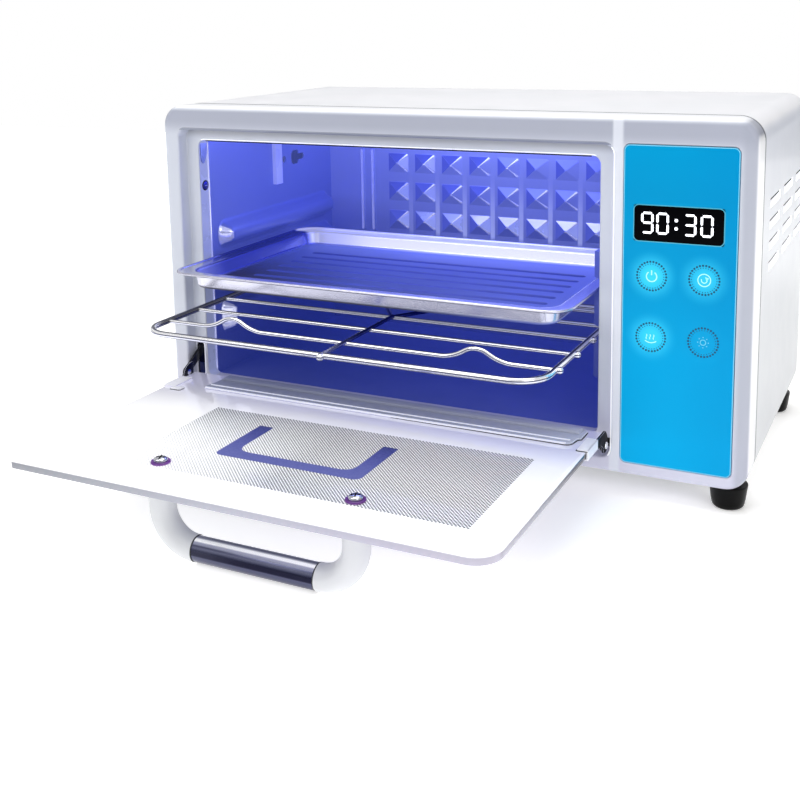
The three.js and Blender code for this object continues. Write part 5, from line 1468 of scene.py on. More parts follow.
def shell_white() -> Material:
    """White powder coat with painted shade: greyer on its right side, dark in the seam behind the frame."""
    shader = Shader("shell_white_shaded")
    soft = shader.even(22.0, 3.0)
    paint = shader.mix(shader.span(soft, 0.35, 0.65), srgb("f3f4f7"), srgb("f6f6f9"))
    # painted shade: the right side greyer than the top, varying with height
    stops = [(0.0, "d6d9dd"), (0.35, "d0d4d9"), (0.8, "ccd0d9"), (1.0, "dee2ec")]
    side = shader.ramp(shader.across("Z", 10, 180, False), stops)
    paint = shader.mix(shader.across("X", 172.0, 174.9), paint, side)
    # painted shade in the seam behind the front frame
    shader.colour(shader.tinted(paint, "3a3e4c", shader.across("Y", 21.5, 19.6), 0.9))
    patches = shader.even(60.0, 4.0)
    shader.rough(shader.worn(patches, 0.33, 0.4))
    shader.base(Coat_Weight=0.12, Coat_Roughness=0.1)
    shader.bump(grain_height(shader, Grain.POWDER, 0.5), 0.04)
    return shader.material


@dataclass
class Shell(Assembly):
    """The folded sheet round the sides and top, with louvres in its right side.

    Attributes:
        half: half its width.
        height: its height.
        corner: radius of its folds.
        front: its front edge.
        back: its back edge.
        under: where its lower flanges end.
        louvre: length and height of a louvre.
        first: front and top of the first louvre.
        pitch: distance to the next one, backwards and down.
    """

    half: float = 175.0
    height: float = 187.0
    corner: float = 12.5
    front: float = 18.4
    back: float = 182.0
    under: float = 150.0
    louvre: Spot = (36.0, 5.2)
    first: Spot = (41.0, 143.0)
    pitch: Spot = (49.5, 11.1)

    def build(self) -> None:
        """Makes the shell."""
        piece = Piece("shell_wrap", Facing.SIDE)
        bm = piece.bm
        spots = ((self.under, 0.0), (self.half, 0.0), (self.half, self.height), (-self.half, self.height),
                 (-self.half, 0.0), (-self.under, 0.0))
        verts = [bm.verts.new((x, self.front, z)) for x, z in spots]
        for pair in zip(verts, verts[1:]):
            bm.edges.new(pair)
        bmesh.ops.bevel(bm, geom=verts[1:-1], offset=self.corner, offset_type="OFFSET", affect="VERTICES",
                        segments=12, profile=0.5, material=-1)
        side = next(e for e in bm.edges if e.calc_length() > 100
                    and all(v.co.x > self.half - 0.01 for v in e.verts))
        front_pair = sorted(side.verts, key=lambda v: v.co.z)
        made = bmesh.ops.extrude_edge_only(bm, edges=[e for e in bm.edges if e is not side])
        moved = [item for item in made["geom"] if isinstance(item, bmesh.types.BMVert)]
        bmesh.ops.translate(bm, vec=(0, self.back - self.front, 0), verts=moved)
        back_pair = [next(e.other_vert(v) for e in v.link_edges
                          if abs(e.other_vert(v).co.y - self.back) < 0.01) for v in front_pair]
        rim = [side, bm.edges.new(back_pair)]
        rim += [bm.edges.get(pair) for pair in zip(front_pair, back_pair)]
        for column in range(3):
            for line in range(4):
                front, top = self.first[0] + column * self.pitch[0], self.first[1] - line * self.pitch[1]
                rim += self._louvre(piece, front, top)
        piece.fill(rim)
        finishes = [self.shop.special(shell_white), *self.shop.finishes("painted_shade", "painted_light")]
        piece.done(Body.CABINET, finishes, ["outer_shell"], "shell_paint", 30, wall=0.8, seen=(0, 0, 1))

    def _louvre(self, piece: Piece, front: float, top: float) -> list:
        """One louvre pressed inwards, with painted light on its blade and painted shade in its gap.

        Args:
            piece: the shell under way.
            front: the louvre's front end.
            top: its upper edge.

        Returns:
            The edges of its rim.
        """
        length, height = self.louvre
        shape = Oblong(front, front + length, top - height, top, 1.2, 4)
        loops = piece.stack([(shape, self.half), (shape.grown(-0.12), self.half - 0.4),
                             (shape.grown(-0.3), self.half - 0.7)])
        for face in {face for edge in loops[1] for face in edge.link_faces}:
            if face.calc_center_median().z < top - 0.4:
                face.material_index = 2
        blade = {vert for edge in loops[-1] for vert in edge.verts}
        for vert in blade:
            vert.co.x -= 2.4 * (vert.co.z - top + height) / height
        piece.fill(loops[-1], 2)
        gap = Oblong(front + 0.5, front + length - 0.5, top - 1.7, top - 0.35, 0.4, 2)
        piece.fill(piece.loop(gap, self.half - 0.68), 1)
        return loops[0]


def glass_white() -> Material:
    """White-looking glass: pale on its face, lavender along its edge, painted light towards the lit chamber.
    """
    shader = Shader("glass_white")
    face = shader.mix(shader.across("Y", -62, -6), srgb("fdfdff"), srgb("dad9f3"))
    edge = shader.ramp(shader.across("X", -158, 100, False),
                       [(0.0, "868992"), (0.2, "979aa4"), (0.5, "adaebd"), (0.85, "b6b3c6"), (1.0, "bcb8c8")])
    # painted shade: the right edge darkens towards the back
    side = shader.ramp(shader.across("Y", -140, -30, False),
                       [(0.0, "a9a5b5"), (0.5, "85838f"), (0.85, "4e4f59"), (1.0, "34353f")])
    edge = shader.mix(shader.across("X", 100.4, 101.1), edge, side)
    top = shader.across("Z", 21.2, 21.6)
    shader.colour(shader.mix(top, edge, face))
    # painted light: the face glows faintly
    shader.glow(face, shader.times(top, 0.16))
    shader.base(Roughness=0.07, Coat_Weight=0.3, Coat_Roughness=0.03)
    return shader.material


def band_violet() -> Material:
    """Violet blue print, deeper at the band's two ends."""
    shader = Shader("band_violet")
    tone = shader.ramp(shader.across("Y", -108, -65, False),
                       [(0.0, "6066a8"), (0.3, "5a60a4"), (0.8, "434a92"), (1.0, "2f3678")])
    fine = shader.even(900.0, 2.0)
    shader.colour(shader.mix(shader.span(fine, 0.35, 0.65, 0.0, 0.25), tone, srgb("7d82ba")))
    shader.base(Roughness=0.3, Specular_IOR_Level=0.3)
    return shader.material


@dataclass
class DoorGlass(Assembly):
    """The folded-down glass with its printed dots and band.

    Attributes:
        low: underside.
        high: upper side.
        left: its left edge.
        right: its right edge.
        front: its front edge.
        back: its back edge.
        pitch: distance of the printed dots.
        field: width and depth of the dotted field.
        start: its left back corner.
    """

    low: float = 17.85
    high: float = 21.85
    left: float = -158.4
    right: float = 101.2
    front: float = -157.0
    back: float = -1.2
    pitch: float = 1.9
    field: Spot = (189.0, 84.0)
    start: Spot = (-106.5, -50.5)

    def build(self) -> None:
        """Makes glass, dots and band."""
        pane = Piece("door_pane", Facing.TOP)
        corners = Oblong(self.left, self.right, self.front, self.back).corners
        pane.slab(Shape(corners, (3.0, 13.0, 1.0, 1.0), 12), self.low, self.high, 0.55)
        pane.done(Body.DOOR, [self.shop.special(glass_white)], ["door_glass"], "door_glass", 30)
        self._dots()
        self._band()

    def _dots(self) -> None:
        """Rows of printed dots that shrink towards the front left."""
        piece = Piece("door_print_dots", Facing.TOP)
        z = self.high + 0.03
        for step in (0.0, 0.5):
            for column in range(int(self.field[0] / self.pitch)):
                x, y = self.start[0] + self.pitch * (column + step), self.start[1] - self.pitch * step
                piece.circle(x, y, z, 0.52, 6, True)
        two_lines = list(piece.bm.faces)
        for line in range(1, int(self.field[1] / self.pitch)):
            copy = bmesh.ops.duplicate(piece.bm, geom=two_lines)["geom"]
            verts = [item for item in copy if isinstance(item, bmesh.types.BMVert)]
            bmesh.ops.translate(piece.bm, vec=(0, -self.pitch * line, 0), verts=verts)
        for face in piece.bm.faces:
            middle = face.calc_center_median()
            fade = min(max((-25 - middle.x) / 80, 0.0), 1.0) * min(max((-54 - middle.y) / 55, 0.0), 1.0)
            size = 1.12 - 0.74 * fade ** 0.8
            for vert in face.verts:
                vert.co = middle + (vert.co - middle) * size
        piece.done(Body.DOOR, [self.shop.ink("ink_grey", "474a57")], (), "door_glass", toward=Axis.Z)

    def _band(self) -> None:
        """The printed band along three sides of a field."""
        piece = Piece("door_print_band", Facing.TOP)
        shape = Shape(((-69, -65), (-69, -108), (14, -108), (14, -65), (5.5, -65), (5.5, -99.5),
                       (-60.5, -99.5), (-60.5, -65)), (0.0, 4.0, 4.0, 0.0, 0.0, 6.5, 6.5, 0.0), 6)
        piece.fill(piece.loop(shape, self.high + 0.05))
        piece.done(Body.DOOR, [self.shop.special(band_violet)], (), "door_glass", toward=Axis.Z)


def leaf_grey() -> Material:
    """Pale lavender grey sheet that turns whiter towards its right end."""
    shader = Shader("leaf_grey")
    stops = [(0.0, "a2a8c2"), (0.25, "aab0c8"), (0.7, "b9bed2"), (1.0, "cdd1e0")]
    shader.colour(shader.ramp(shader.across("X", -134, 92, False), stops))
    patches = shader.noise(shader.scaled(0.2, 1, 1), 90.0, 3.0)
    shader.rough(shader.worn(patches, 0.42, 0.46))
    shader.base(Metallic=0.1, Coat_Weight=0.1)
    return shader.material


@dataclass
class Hinges(Assembly):
    """The hinge leaf, the clips on the glass, the ears, pins and the link arm.

    Attributes:
        left: outer face of the left ear.
        right: outer face of the right ear.
        axis_y: the door's axis in depth.
        axis_z: the door's axis in height.
        under: underside of the clips.
        over: upper side of the clips.
        reach: how far the left and the right clip reach over the glass.
    """

    left: float = -159.6
    right: float = 102.4
    axis_y: float = -0.2
    axis_z: float = 14.5
    under: float = 17.25
    over: float = 22.45
    reach: Spot = (7.7, 6.0)

    def build(self) -> None:
        """Makes leaf, clips, ears, pins, arm and rivet."""
        self._leaf()
        self._clips()
        self._pins()
        self._arm()
        # black steel on the plates; on the right hinge plate and the linkage plate it also paints the shade
        # behind the right pin and inside the slot
        plates = ["hinge_plate_left", "hinge_plate_right", "linkage_plate"]
        self.shop.dress(self.shop.finish("link"), plates, 0.2)
        self.shop.dress(self.shop.finish("zinc"), ["link_spring"])

    def _leaf(self) -> None:
        """The stepped leaf, its ends cut at a slant."""
        piece = Piece("leaf_sheet", Facing.TOP)
        sheet = Shape(((-134.0, -26.0), (91.6, -26.0), (92.6, -17.4), (94.4, -16.6), (94.4, -5.0),
                       (92.0, -3.0), (-131.4, -3.0)), (1.6, 3.0, 1.2, 0.8, 1.0, 1.0, 1.0), 5)
        piece.slab(sheet, 22.05, 22.85, 0.22, 0, 1)
        step = Shape(((-132.4, -11.5), (92.0, -11.5), (92.0, -3.2), (-131.6, -3.2)), 1.0, 4)
        piece.stack([(step, 22.8), (step, 23.1)])
        piece.slab(step, 22.6, 23.3, 0.3)
        piece.slab(Oblong(-131.4, 91.0, -10.2, -3.6, 0.8, 4), 23.0, 23.65, 0.32)
        # two strips along the front, their rims glowing white lines of painted highlight
        piece.slab(Oblong(-133.4, 89.0, -26.05, -25.0, 0.3, 2), 22.1, 22.98, 0.1, 1)
        piece.slab(Oblong(-132.2, 90.0, -21.6, -20.6, 0.3, 2), 22.7, 23.2, 0.1, 1)
        # a dark sheet under the front and right edges paints their shadow
        shade = Shape(((-10.0, -26.1), (91.8, -26.5), (93.1, -17.8), (94.8, -16.9), (94.8, -5.0),
                       (-10.0, -5.0)), (0.1, 3.2, 1.4, 0.8, 1.0, 1.0), 5)
        piece.slab(shade, 21.88, 22.04, 0.0, 2)
        finishes = [self.shop.special(leaf_grey), *self.shop.finishes("edge_highlight", "painted_shade")]
        piece.done(Body.DOOR, finishes, ["hinge_leaf"], "leaf_paint", 40)

    def _clips(self) -> None:
        """Folded sheets round the glass, with dark sheets under their ends that paint shade round them."""
        left, right = self.left + self.reach[0], self.right - self.reach[1]
        for side, outer, inner, label in ((-1, self.left, left, "left"), (1, self.right, right, "right")):
            clip = Piece(f"clip_{label}", Facing.TOP)
            plate = Oblong(min(outer, inner), max(outer, inner), -31.0, -13.0, 0.6, 3)
            clip.slab(plate, 21.93, self.over, 0.2)
            clip.slab(plate, self.under, 17.8, 0.2)
            clip.facing = Facing.SIDE
            wall = Oblong(-31.0, -13.0, self.under, self.over, 0.3, 3)
            clip.slab(wall, outer, outer - side * 1.0, 0.2)
            if side > 0:
                ear = Shape(((-14.0, self.under), (-8.2, self.under), (-4.2, 14.5), (-4.2, 10.5), (3.8, 10.5),
                             (3.8, 18.0), (0.3, self.over), (-14.0, self.over)),
                            (0.0, 0.5, 0.5, 3.8, 3.8, 2.0, 1.5, 0.0), 6)
                # the right ear is a dark plate painting the shade behind the pin, with painted highlights on
                # its rims
                clip.slab(ear, outer + 0.04, outer - side * 1.04, 0.2, 2, 1)
            finishes = self.shop.finishes("clip", "edge", "painted_shade")
            clip.done(Body.DOOR, finishes, [f"bracket_{label}"], "clip_paint", 40)
        # dark sheets under the clips' ends paint the shade round their outlines
        for label, shape in (("left", Oblong(-152.4, -144.8, -35.4, -30.0, 0.8, 3)),
                             ("right", Oblong(right - 0.5, 102.3, -31.7, -29.0, 0.8, 3))):
            painted_shade = Piece(f"clip_gasket_{label}", Facing.TOP)
            painted_shade.slab(shape, 21.87, 21.99, 0.03)
            painted_shade.done(Body.DOOR, self.shop.finishes("painted_shade"), (), "clip_paint")
        tab = Piece("clip_tab_left", Facing.TOP)
        tab.slab(Oblong(-152.3, -145.0, -35.0, -30.4, 0.9, 4), 21.95, 22.5, 0.2)
        tab.done(Body.DOOR, self.shop.finishes("clip"), (), "clip_paint")
        # the left ear: black steel, with painted highlights on its rims
        ear = Piece("ear_left", Facing.SIDE)
        shape = Shape(((-15.5, 17.3), (-8.2, self.under), (-4.2, 14.5), (-4.2, 10.5), (3.8, 10.5),
                       (3.8, 18.5), (-2.8, 20.4), (-2.8, 29.3), (-10.4, 28.0), (-13.6, 21.5)),
                      (0.4, 0.5, 0.5, 3.8, 3.8, 2.0, 1.0, 1.2, 3.2, 2.0), 6)
        ear.slab(shape, self.left, self.left + 1.0, 0.32, 0, 1)
        ear.done(Body.DOOR, self.shop.finishes("link", "edge_highlight"), (), "clip_paint", 40)

    def _pins(self) -> None:
        """Hinge pins with domed heads, and the rivet."""
        for side, start, label in ((-1, -160.8, "left"), (1, 103.6, "right")):
            piece = Piece(f"pivot_{label}")
            profile = [(0.0, 0.0), (1.2, 0.05), (1.8, 0.35), (2.0, 0.8), (1.95, 1.0), (1.3, 1.0), (1.3, 4.0),
                       (1.95, 4.0), (2.0, 4.2), (1.8, 4.7), (1.2, 4.95), (0.0, 5.0)]
            piece.turned([(r, -side * h) for r, h in profile], (start, self.axis_y, self.axis_z), Axis.X, 24)
            piece.done(Body.DOOR, self.shop.finishes("chrome"), [f"hinge_pin_{label}"], "bright_metal")
        rivet = Piece("rivet_head")
        profile = [(0.0, 0.0), (1.6, 0.1), (2.2, 0.4), (2.4, 0.7), (1.1, 0.7), (1.1, 3.3), (1.9, 3.3),
                   (1.9, 3.6), (1.4, 3.85), (0.0, 3.9)]
        rivet.turned(profile, (-162.3, -7.1, 23.2), Axis.X, 24)
        rivet.done(Body.DOOR, self.shop.finishes("chrome"), ["link_rivet"], "bright_metal")

    def _arm(self) -> None:
        """The link arm keeps its packed form; its edges are rounded and bear a painted highlight."""
        self.shop.dress(self.shop.finish("link"), ["link_arm"], 0.3)
        arm = self.shop.frame["nodes"]["link_arm"]
        arm.data.materials.append(self.shop.finish("edge"))
        arm.modifiers["soft_edges"].material = 1
        self.shop.dress(self.shop.finish("dark"), ["arm_magnet"], 0.1)


def handle_tube() -> Material:
    """Polished tube with a painted reflection: light and dark bands along its length, also glowing."""
    shader = Shader("handle_tube")
    band = shader.ramp(shader.across("Z", -26.0, -12.8, False), [
        (0.0, "1a1b36"), (0.1, "303249"), (0.25, "43455c"), (0.42, "4a4c64"), (0.47, "0e0e28"),
        (0.62, "080822"), (0.66, "2c2e46"), (0.76, "5c5e74"), (0.82, "3c3e56"), (0.86, "8a8c9e"),
        (0.91, "a0a2b4"), (0.935, "ffffff"), (0.975, "ffffff"), (0.99, "8b8d9e"), (1.0, "4a4c60")])
    smear = shader.noise(shader.scaled(0.35, 1, 1), 60.0, 3.0)
    shader.colour(shader.mix(shader.span(smear, 0.45, 0.75, 0.0, 0.2), band, srgb("7c7e94")))
    streak = shader.noise(shader.scaled(0.1, 1, 1), 900.0, 3.0)
    shader.rough(shader.worn(streak, 0.14, 0.24))
    shader.glow(band, 0.35)
    shader.base(Metallic=0.75)
    return shader.material


@dataclass
class Handle(Assembly):
    """Bent elbows, bright tube, washers and screws.

    Attributes:
        left: place of the left post.
        right: place of the right post.
        y: place in depth.
        z: height of the tube's middle.
        glass: upper side of the glass.
        under: underside of the glass.
        reach: how far an elbow runs along the bar.
        elbow: radius of the elbows.
        tube: radius of the tube.
    """

    left: float = -86.3
    right: float = 23.3
    y: float = -128.0
    z: float = -19.4
    glass: float = 21.85
    under: float = 17.85
    reach: float = 20.0
    elbow: float = 6.8
    tube: float = 6.6

    def build(self) -> None:
        """Makes the handle."""
        for side, x, label in ((-1, self.left, "left"), (1, self.right, "right")):
            elbow = Piece(f"elbow_{label}")
            route = [(x, self.y, self.under), (x, self.y, self.z), (x - side * self.reach, self.y, self.z)]
            elbow.wire(route, self.elbow, self.reach - 0.4, 20, 40)
            elbow.done(Body.DOOR, self.shop.finishes("white"), [f"handle_elbow_{label}"], "white_plastic", 60)
            self._fixing(x, label)
        x0, x1 = self.left + self.reach, self.right - self.reach
        tube = Piece("bar_tube")
        profile = [(5.0, x0), (self.tube - 0.35, x0), (self.tube - 0.1, x0 + 0.2), (self.tube, x0 + 0.6),
                   (self.tube, x1 - 0.6), (self.tube - 0.1, x1 - 0.2), (self.tube - 0.35, x1), (5.0, x1)]
        tube.turned(profile, (0, self.y, self.z), Axis.X, 48)
        tube.done(Body.DOOR, [self.shop.special(handle_tube)], ["handle_tube"], "bright_metal", 50)
        for x, label in ((x0 + 0.35, "left"), (x1 - 0.35, "right")):
            ring = Piece(f"bar_ring_{label}")
            ring.turned([(6.0, x - 0.4), (6.72, x - 0.35), (6.76, x), (6.72, x + 0.35), (6.0, x + 0.4)],
                        (0, self.y, self.z), Axis.X, 48)
            ring.done(Body.DOOR, self.shop.finishes("dark"), (), "bright_metal", 50)

    def _fixing(self, x: float, label: str) -> None:
        """One washer with a paler edge, and its flat screw head with a dark cross of painted shade.

        Args:
            x: place of the post.
            label: the side in words.
        """
        base = self.glass
        middle = (x, self.y, base)
        washer = Piece(f"washer_{label}")
        washer.turned([(2.4, 0.05), (4.7, 0.02), (5.0, 0.25), (5.0, 0.55)], middle, steps=40, slot=1)
        crown = [(5.0, 0.55), (4.9, 0.95), (4.5, 1.2), (4.1, 1.1), (3.8, 0.8), (2.4, 0.8), (2.4, 0.05)]
        washer.turned(crown, middle, steps=40)
        finishes = self.shop.finishes("purple", "pink")
        washer.done(Body.DOOR, finishes, [f"handle_washer_{label}"], "washer_purple", 50)
        head = Piece(f"screw_{label}", Facing.TOP)
        profile = [(0.0, -17.0), (1.9, -17.0), (1.9, 0.9), (3.3, 0.9), (3.5, 1.1), (3.5, 1.9), (3.2, 2.4),
                   (2.4, 2.75), (1.2, 2.95), (0.0, 3.0)]
        head.turned(profile, middle, steps=32)
        for turn in (20, 110):
            c, s = math.cos(math.radians(turn)), math.sin(math.radians(turn))
            spots = tuple((x + c * u - s * v, self.y + s * u + c * v)
                          for u, v in ((-2.2, -0.38), (2.2, -0.38), (2.2, 0.38), (-2.2, 0.38)))
            head.slab(Shape(spots), base + 2.2, base + 3.03, 0.0, 1)
        head.done(Body.DOOR, self.shop.finishes("chrome", "painted_shade"), [f"handle_screw_{label}"],
                  "bright_metal", 40)


def tray_steel() -> Material:
    """Smooth pressed steel, light and shade painted in: bright rim and walls, dusky inside, lit along its
    back.
    """
    shader = Shader("tray_steel")
    stops = [(0.0, "2c3044"), (0.12, "363f66"), (0.35, "3f4c86"), (0.7, "4c5aa0"), (1.0, "6272b8")]
    # painted shade: the inside darker towards the front
    inside = shader.ramp(shader.across("Y", -24, 114, False), stops)
    # painted shade in the inside's front left corner
    corner = shader.times(shader.across("X", -40, -140), shader.across("Y", 80, 0))
    inside = shader.tinted(inside, "26263a", corner)
    # painted light: the inside lighter towards the right
    inside = shader.tinted(inside, "7080d6", shader.across("X", -20, 90), 0.6)
    rim = shader.ramp(shader.across("Y", -33, 123, False),
                      [(0.0, "d9d9ea"), (0.3, "bfc2d6"), (0.75, "c3c6e6"), (1.0, "e4e5f8")])
    # painted reflection of the blue wall on the rim's far left end
    far = shader.times(shader.across("X", -126, -140), shader.across("Y", -18, 14))
    rim = shader.tinted(rim, "4452aa", far, 0.85)
    deep = shader.across("Z", 82.4, 84.2)
    # painted shade: a dark line in the crease of the rolled rim
    crease_shade = shader.times(shader.across("Z", 90.9, 91.3), shader.across("Z", 91.9, 91.6))
    rim = shader.tinted(rim, "4c4f66", crease_shade, 0.75)
    shader.colour(shader.mix(deep, inside, rim))
    low = shader.math("SUBTRACT", 1.0, deep)
    # painted reflection of the lamp: a glowing pale band along the back
    back = shader.times(shader.across("Y", 106, 111), shader.across("Z", 83.4, 84.4))
    back = shader.times(back, 0.55)
    # painted light: the inside glows
    shader.glow(shader.tinted(inside, "f4f4ff", back), shader.math("ADD", shader.times(low, 0.3), back))
    patches = shader.noise(shader.scaled(0.3, 1, 1), 40.0, 2.0)
    shader.rough(shader.math("ADD", shader.worn(patches, 0.2, 0.25), shader.times(low, 0.3)))
    shader.link(shader.span(deep, 0, 1, 0.35, 0.85, False), shader.surface.inputs["Metallic"])
    return shader.material


@dataclass
class Tray(Assembly):
    """The pressed tray with its rolled rim and ribs.

    Attributes:
        plan: its outline from above.
        rim: height of the rim's underside.
    """

    plan: Oblong = Oblong(-151.5, 91.5, -33.0, 123.0, 14.0, 12)
    rim: float = 91.1

    def _at(self, inset: float, rise: float, radius: float) -> tuple[Oblong, float]:
        """One outline of the pan, set in from its rim, and its height."""
        return replace(self.plan.grown(-inset), radius=radius), self.rim + rise

    def build(self) -> None:
        """Makes the tray."""
        piece = Piece("pressed_tray", Facing.TOP)
        layers = [self._at(2.0, 0.0, 12.4)]
        for i in range(9):
            a = math.radians(-90 + 30 * i)
            layers.append(self._at(0.9 - 0.9 * math.cos(a), 0.85 + 0.85 * math.sin(a), 13.6))
        inner = ((2.0, 1.0, 12.4), (7.6, 0.95, 10.5), (8.6, 0.8, 9.9), (9.4, 0.2, 9.3), (9.9, -1.0, 9.0),
                 (10.6, -6.4, 8.6), (11.3, -7.8, 8.2), (12.6, -8.5, 7.4), (14.0, -8.6, 6.5))
        piece.stack(layers + [self._at(*v) for v in inner], last=True)
        under = ((2.0, 0.0, 12.4), (7.6, 0.0, 10.5), (8.6, -0.6, 10.2), (9.0, -1.6, 9.9), (9.7, -6.8, 9.3),
                 (10.6, -8.8, 8.8), (12.4, -9.5, 7.6), (14.0, -9.6, 6.5))
        piece.stack([self._at(*v) for v in under], last=True)
        for i in range(7):
            y = self.plan.low + 34 + i * 14 + 2.5
            rib = Oblong(self.plan.left + 27, self.plan.right - 27, y - 2.5, y + 2.5, 2.4, 6)
            layers = ((0.0, -0.05), (-0.5, 0.2), (-1.1, 0.42), (-1.7, 0.5))
            piece.stack([(rib.grown(by), self.rim - 8.6 + rise) for by, rise in layers], 1, last=True)
        finishes = [self.shop.special(tray_steel), self.shop.finish("rib")]
        piece.done(Body.TRAY, finishes, ["tray"], "tray_steel", 40)


@dataclass
class Rack(Assembly):
    """The bright wire rack.

    Attributes:
        left: middle of the left side wire.
        right: middle of the right side wire.
        front: middle of the front wire.
        back: middle of the back wire.
        z: height of the wires' middle.
        wire: radius of the frame wire.
        bar: radius of the cross bars.
        first: place of the front cross bar.
        pitch: distance of the cross bars.
        humps: middles of the front bar's two humps.
        hump: half the width and the height of a hump.
        stem: place of the middle wire.
        fork: where the middle wire parts, how far back its two ends reach and how far aside.
    """

    left: float = -147.8
    right: float = 87.8
    front: float = -63.3
    back: float = 83.3
    z: float = 65.0
    wire: float = 1.7
    bar: float = 1.2
    first: float = -39.0
    pitch: float = 28.5
    humps: Spot = (-102.7, 45.7)
    hump: Spot = (13.5, 7.7)
    stem: float = -30.0
    fork: Point = (18.0, 46.5, 20.0)

    def build(self) -> None:
        """Makes the rack."""
        piece = Piece("wire_grid")
        corners = Oblong(self.left, self.right, self.front, self.back).corners
        piece.wire([(x, y, self.z) for x, y in corners], self.wire, 16.3, 14, 16, True)
        knob = [(0.0, -1.9), (1.0, -1.6), (1.65, -0.9), (1.9, 0.0), (1.65, 0.9), (1.0, 1.6), (0.0, 1.9)]
        x0, x1 = self.left - 1.1, self.right + 2.2
        half, height = self.hump
        for index in range(5):
            y = self.first + index * self.pitch
            route = [(x0, y, self.z)]
            for middle in self.humps if index == 0 else ():
                route += [(middle - half, y, self.z), (middle, y, self.z + height),
                          (middle + half, y, self.z)]
            piece.wire([*route, (x1, y, self.z)], self.bar, 6.0, 8, 12)
            piece.turned(knob, (x1, y, self.z), Axis.X, 16)
        self._stem(piece)
        finishes = [self.shop.special(rack_chrome), self.shop.special(stem_lit_blue)]
        piece.done(Body.RACK, finishes, ["wire_rack"], "bright_metal", 60)

    def _stem(self, piece: Piece) -> None:
        """The middle wire with its fork and its front end, a little above the cross bars.

        Args:
            piece: the rack under way.
        """
        x, tip = self.stem, self.front - 2.7
        parting, end, aside = self.fork
        piece.wire([(x, tip, self.z + 0.7), (x, parting, self.z + 0.7)], self.bar, slot=1)
        for side in (-1, 1):
            route = [(x, parting - 1.2, self.z + 0.5), (x + side * aside, end, self.z + 0.5)]
            piece.wire(route, self.bar, slot=1)
        knob = [(0.0, -2.1), (1.1, -1.8), (1.8, -1.0), (2.1, 0.0), (1.8, 1.0), (1.1, 1.8), (0.0, 2.1)]
        piece.turned(knob, (x, tip, self.z), Axis.Y, 18)


def rack_chrome() -> Material:
    """Bright plated wire with a painted reflection of a studio's light and dark walls banded round each wire.
    """
    shader = Shader("rack_chrome")
    facing = shader.node("SeparateXYZ")
    normal = shader.tree.nodes.new("ShaderNodeNewGeometry").outputs["Normal"]
    shader.link(normal, facing.inputs[0])
    around = shader.span(facing.outputs["Z"], -1.0, 1.0, smooth=False)
    band = shader.ramp(around, [
        (0.0, "1c1d2c"), (0.12, "34354c"), (0.22, "a9acc4"), (0.38, "eef0fa"), (0.48, "5a5c78"),
        (0.56, "33344e"), (0.62, "b4b6ca"), (0.68, "ffffff"), (0.9, "ffffff"), (0.96, "7c7e94"),
        (1.0, "2c2d40")])
    # painted shadow on the left side wire
    shadow = shader.times(shader.across("X", -144.5, -146.5), shader.across("Y", -52, -44))
    band = shader.tinted(band, "20222e", shadow, 0.75)
    shader.colour(band)
    # painted light: the bands glow faintly
    shader.glow(band, 0.16)
    scuff = shader.even(500.0, 2.0)
    shader.rough(shader.worn(scuff, 0.1, 0.18))
    shader.base(Metallic=0.9)
    return shader.material


def stem_lit_blue() -> Material:
    """The rack's middle wire, dusky with painted shade and blue light where it dips into the chamber."""
    shader = Shader("stem_lit_blue")
    stops = [(0.0, "c9cce4"), (0.25, "7f87c0"), (0.5, "3a4592"), (1.0, "2a3688")]
    shader.colour(shader.ramp(shader.across("Y", -66, 20, False), stops))
    patches = shader.noise(shader.scaled(1, 0.2, 1), 400.0, 2.0)
    shader.rough(shader.worn(patches, 0.1, 0.2))
    shader.base(Metallic=0.9)
    return shader.material


# middles of the four touch keys, along X and Z
KEY_SPOTS = ((124.9, 107.1), (150.9, 107.2), (125.0, 75.5), (151.1, 75.6))


def panel_blue() -> Material:
    """Gloss blue sheet with lit patches behind three of its keys."""
    shader = Shader("panel_blue")
    up = shader.across("Z", 7, 173, False)
    # darker towards its top and towards its right edge
    stops = [(0.0, "00a9e3"), (0.35, "00a4de"), (0.6, "0098d0"), (0.85, "0092c8"), (1.0, "0096cc")]
    tone = shader.tinted(shader.ramp(up, stops), "0086c4", shader.across("X", 130, 166), 0.35)
    glow = None
    for (kx, kz), power in zip(KEY_SPOTS, (0.72, 0.55, 0.66, 0.06)):
        spot = shader.times(shader.span(shader.away("X", "Z", kx, kz), 14.0, 1.5), power)
        glow = spot if glow is None else shader.math("MAXIMUM", glow, spot)
    lit = shader.mix(glow, tone, srgb("41d5f0"))
    shader.colour(lit)
    shader.glow(lit, shader.span(glow, 0, 1, 0.06, 0.4, smooth=False))
    shader.base(Roughness=0.3, Specular_IOR_Level=0.06)
    return shader.material


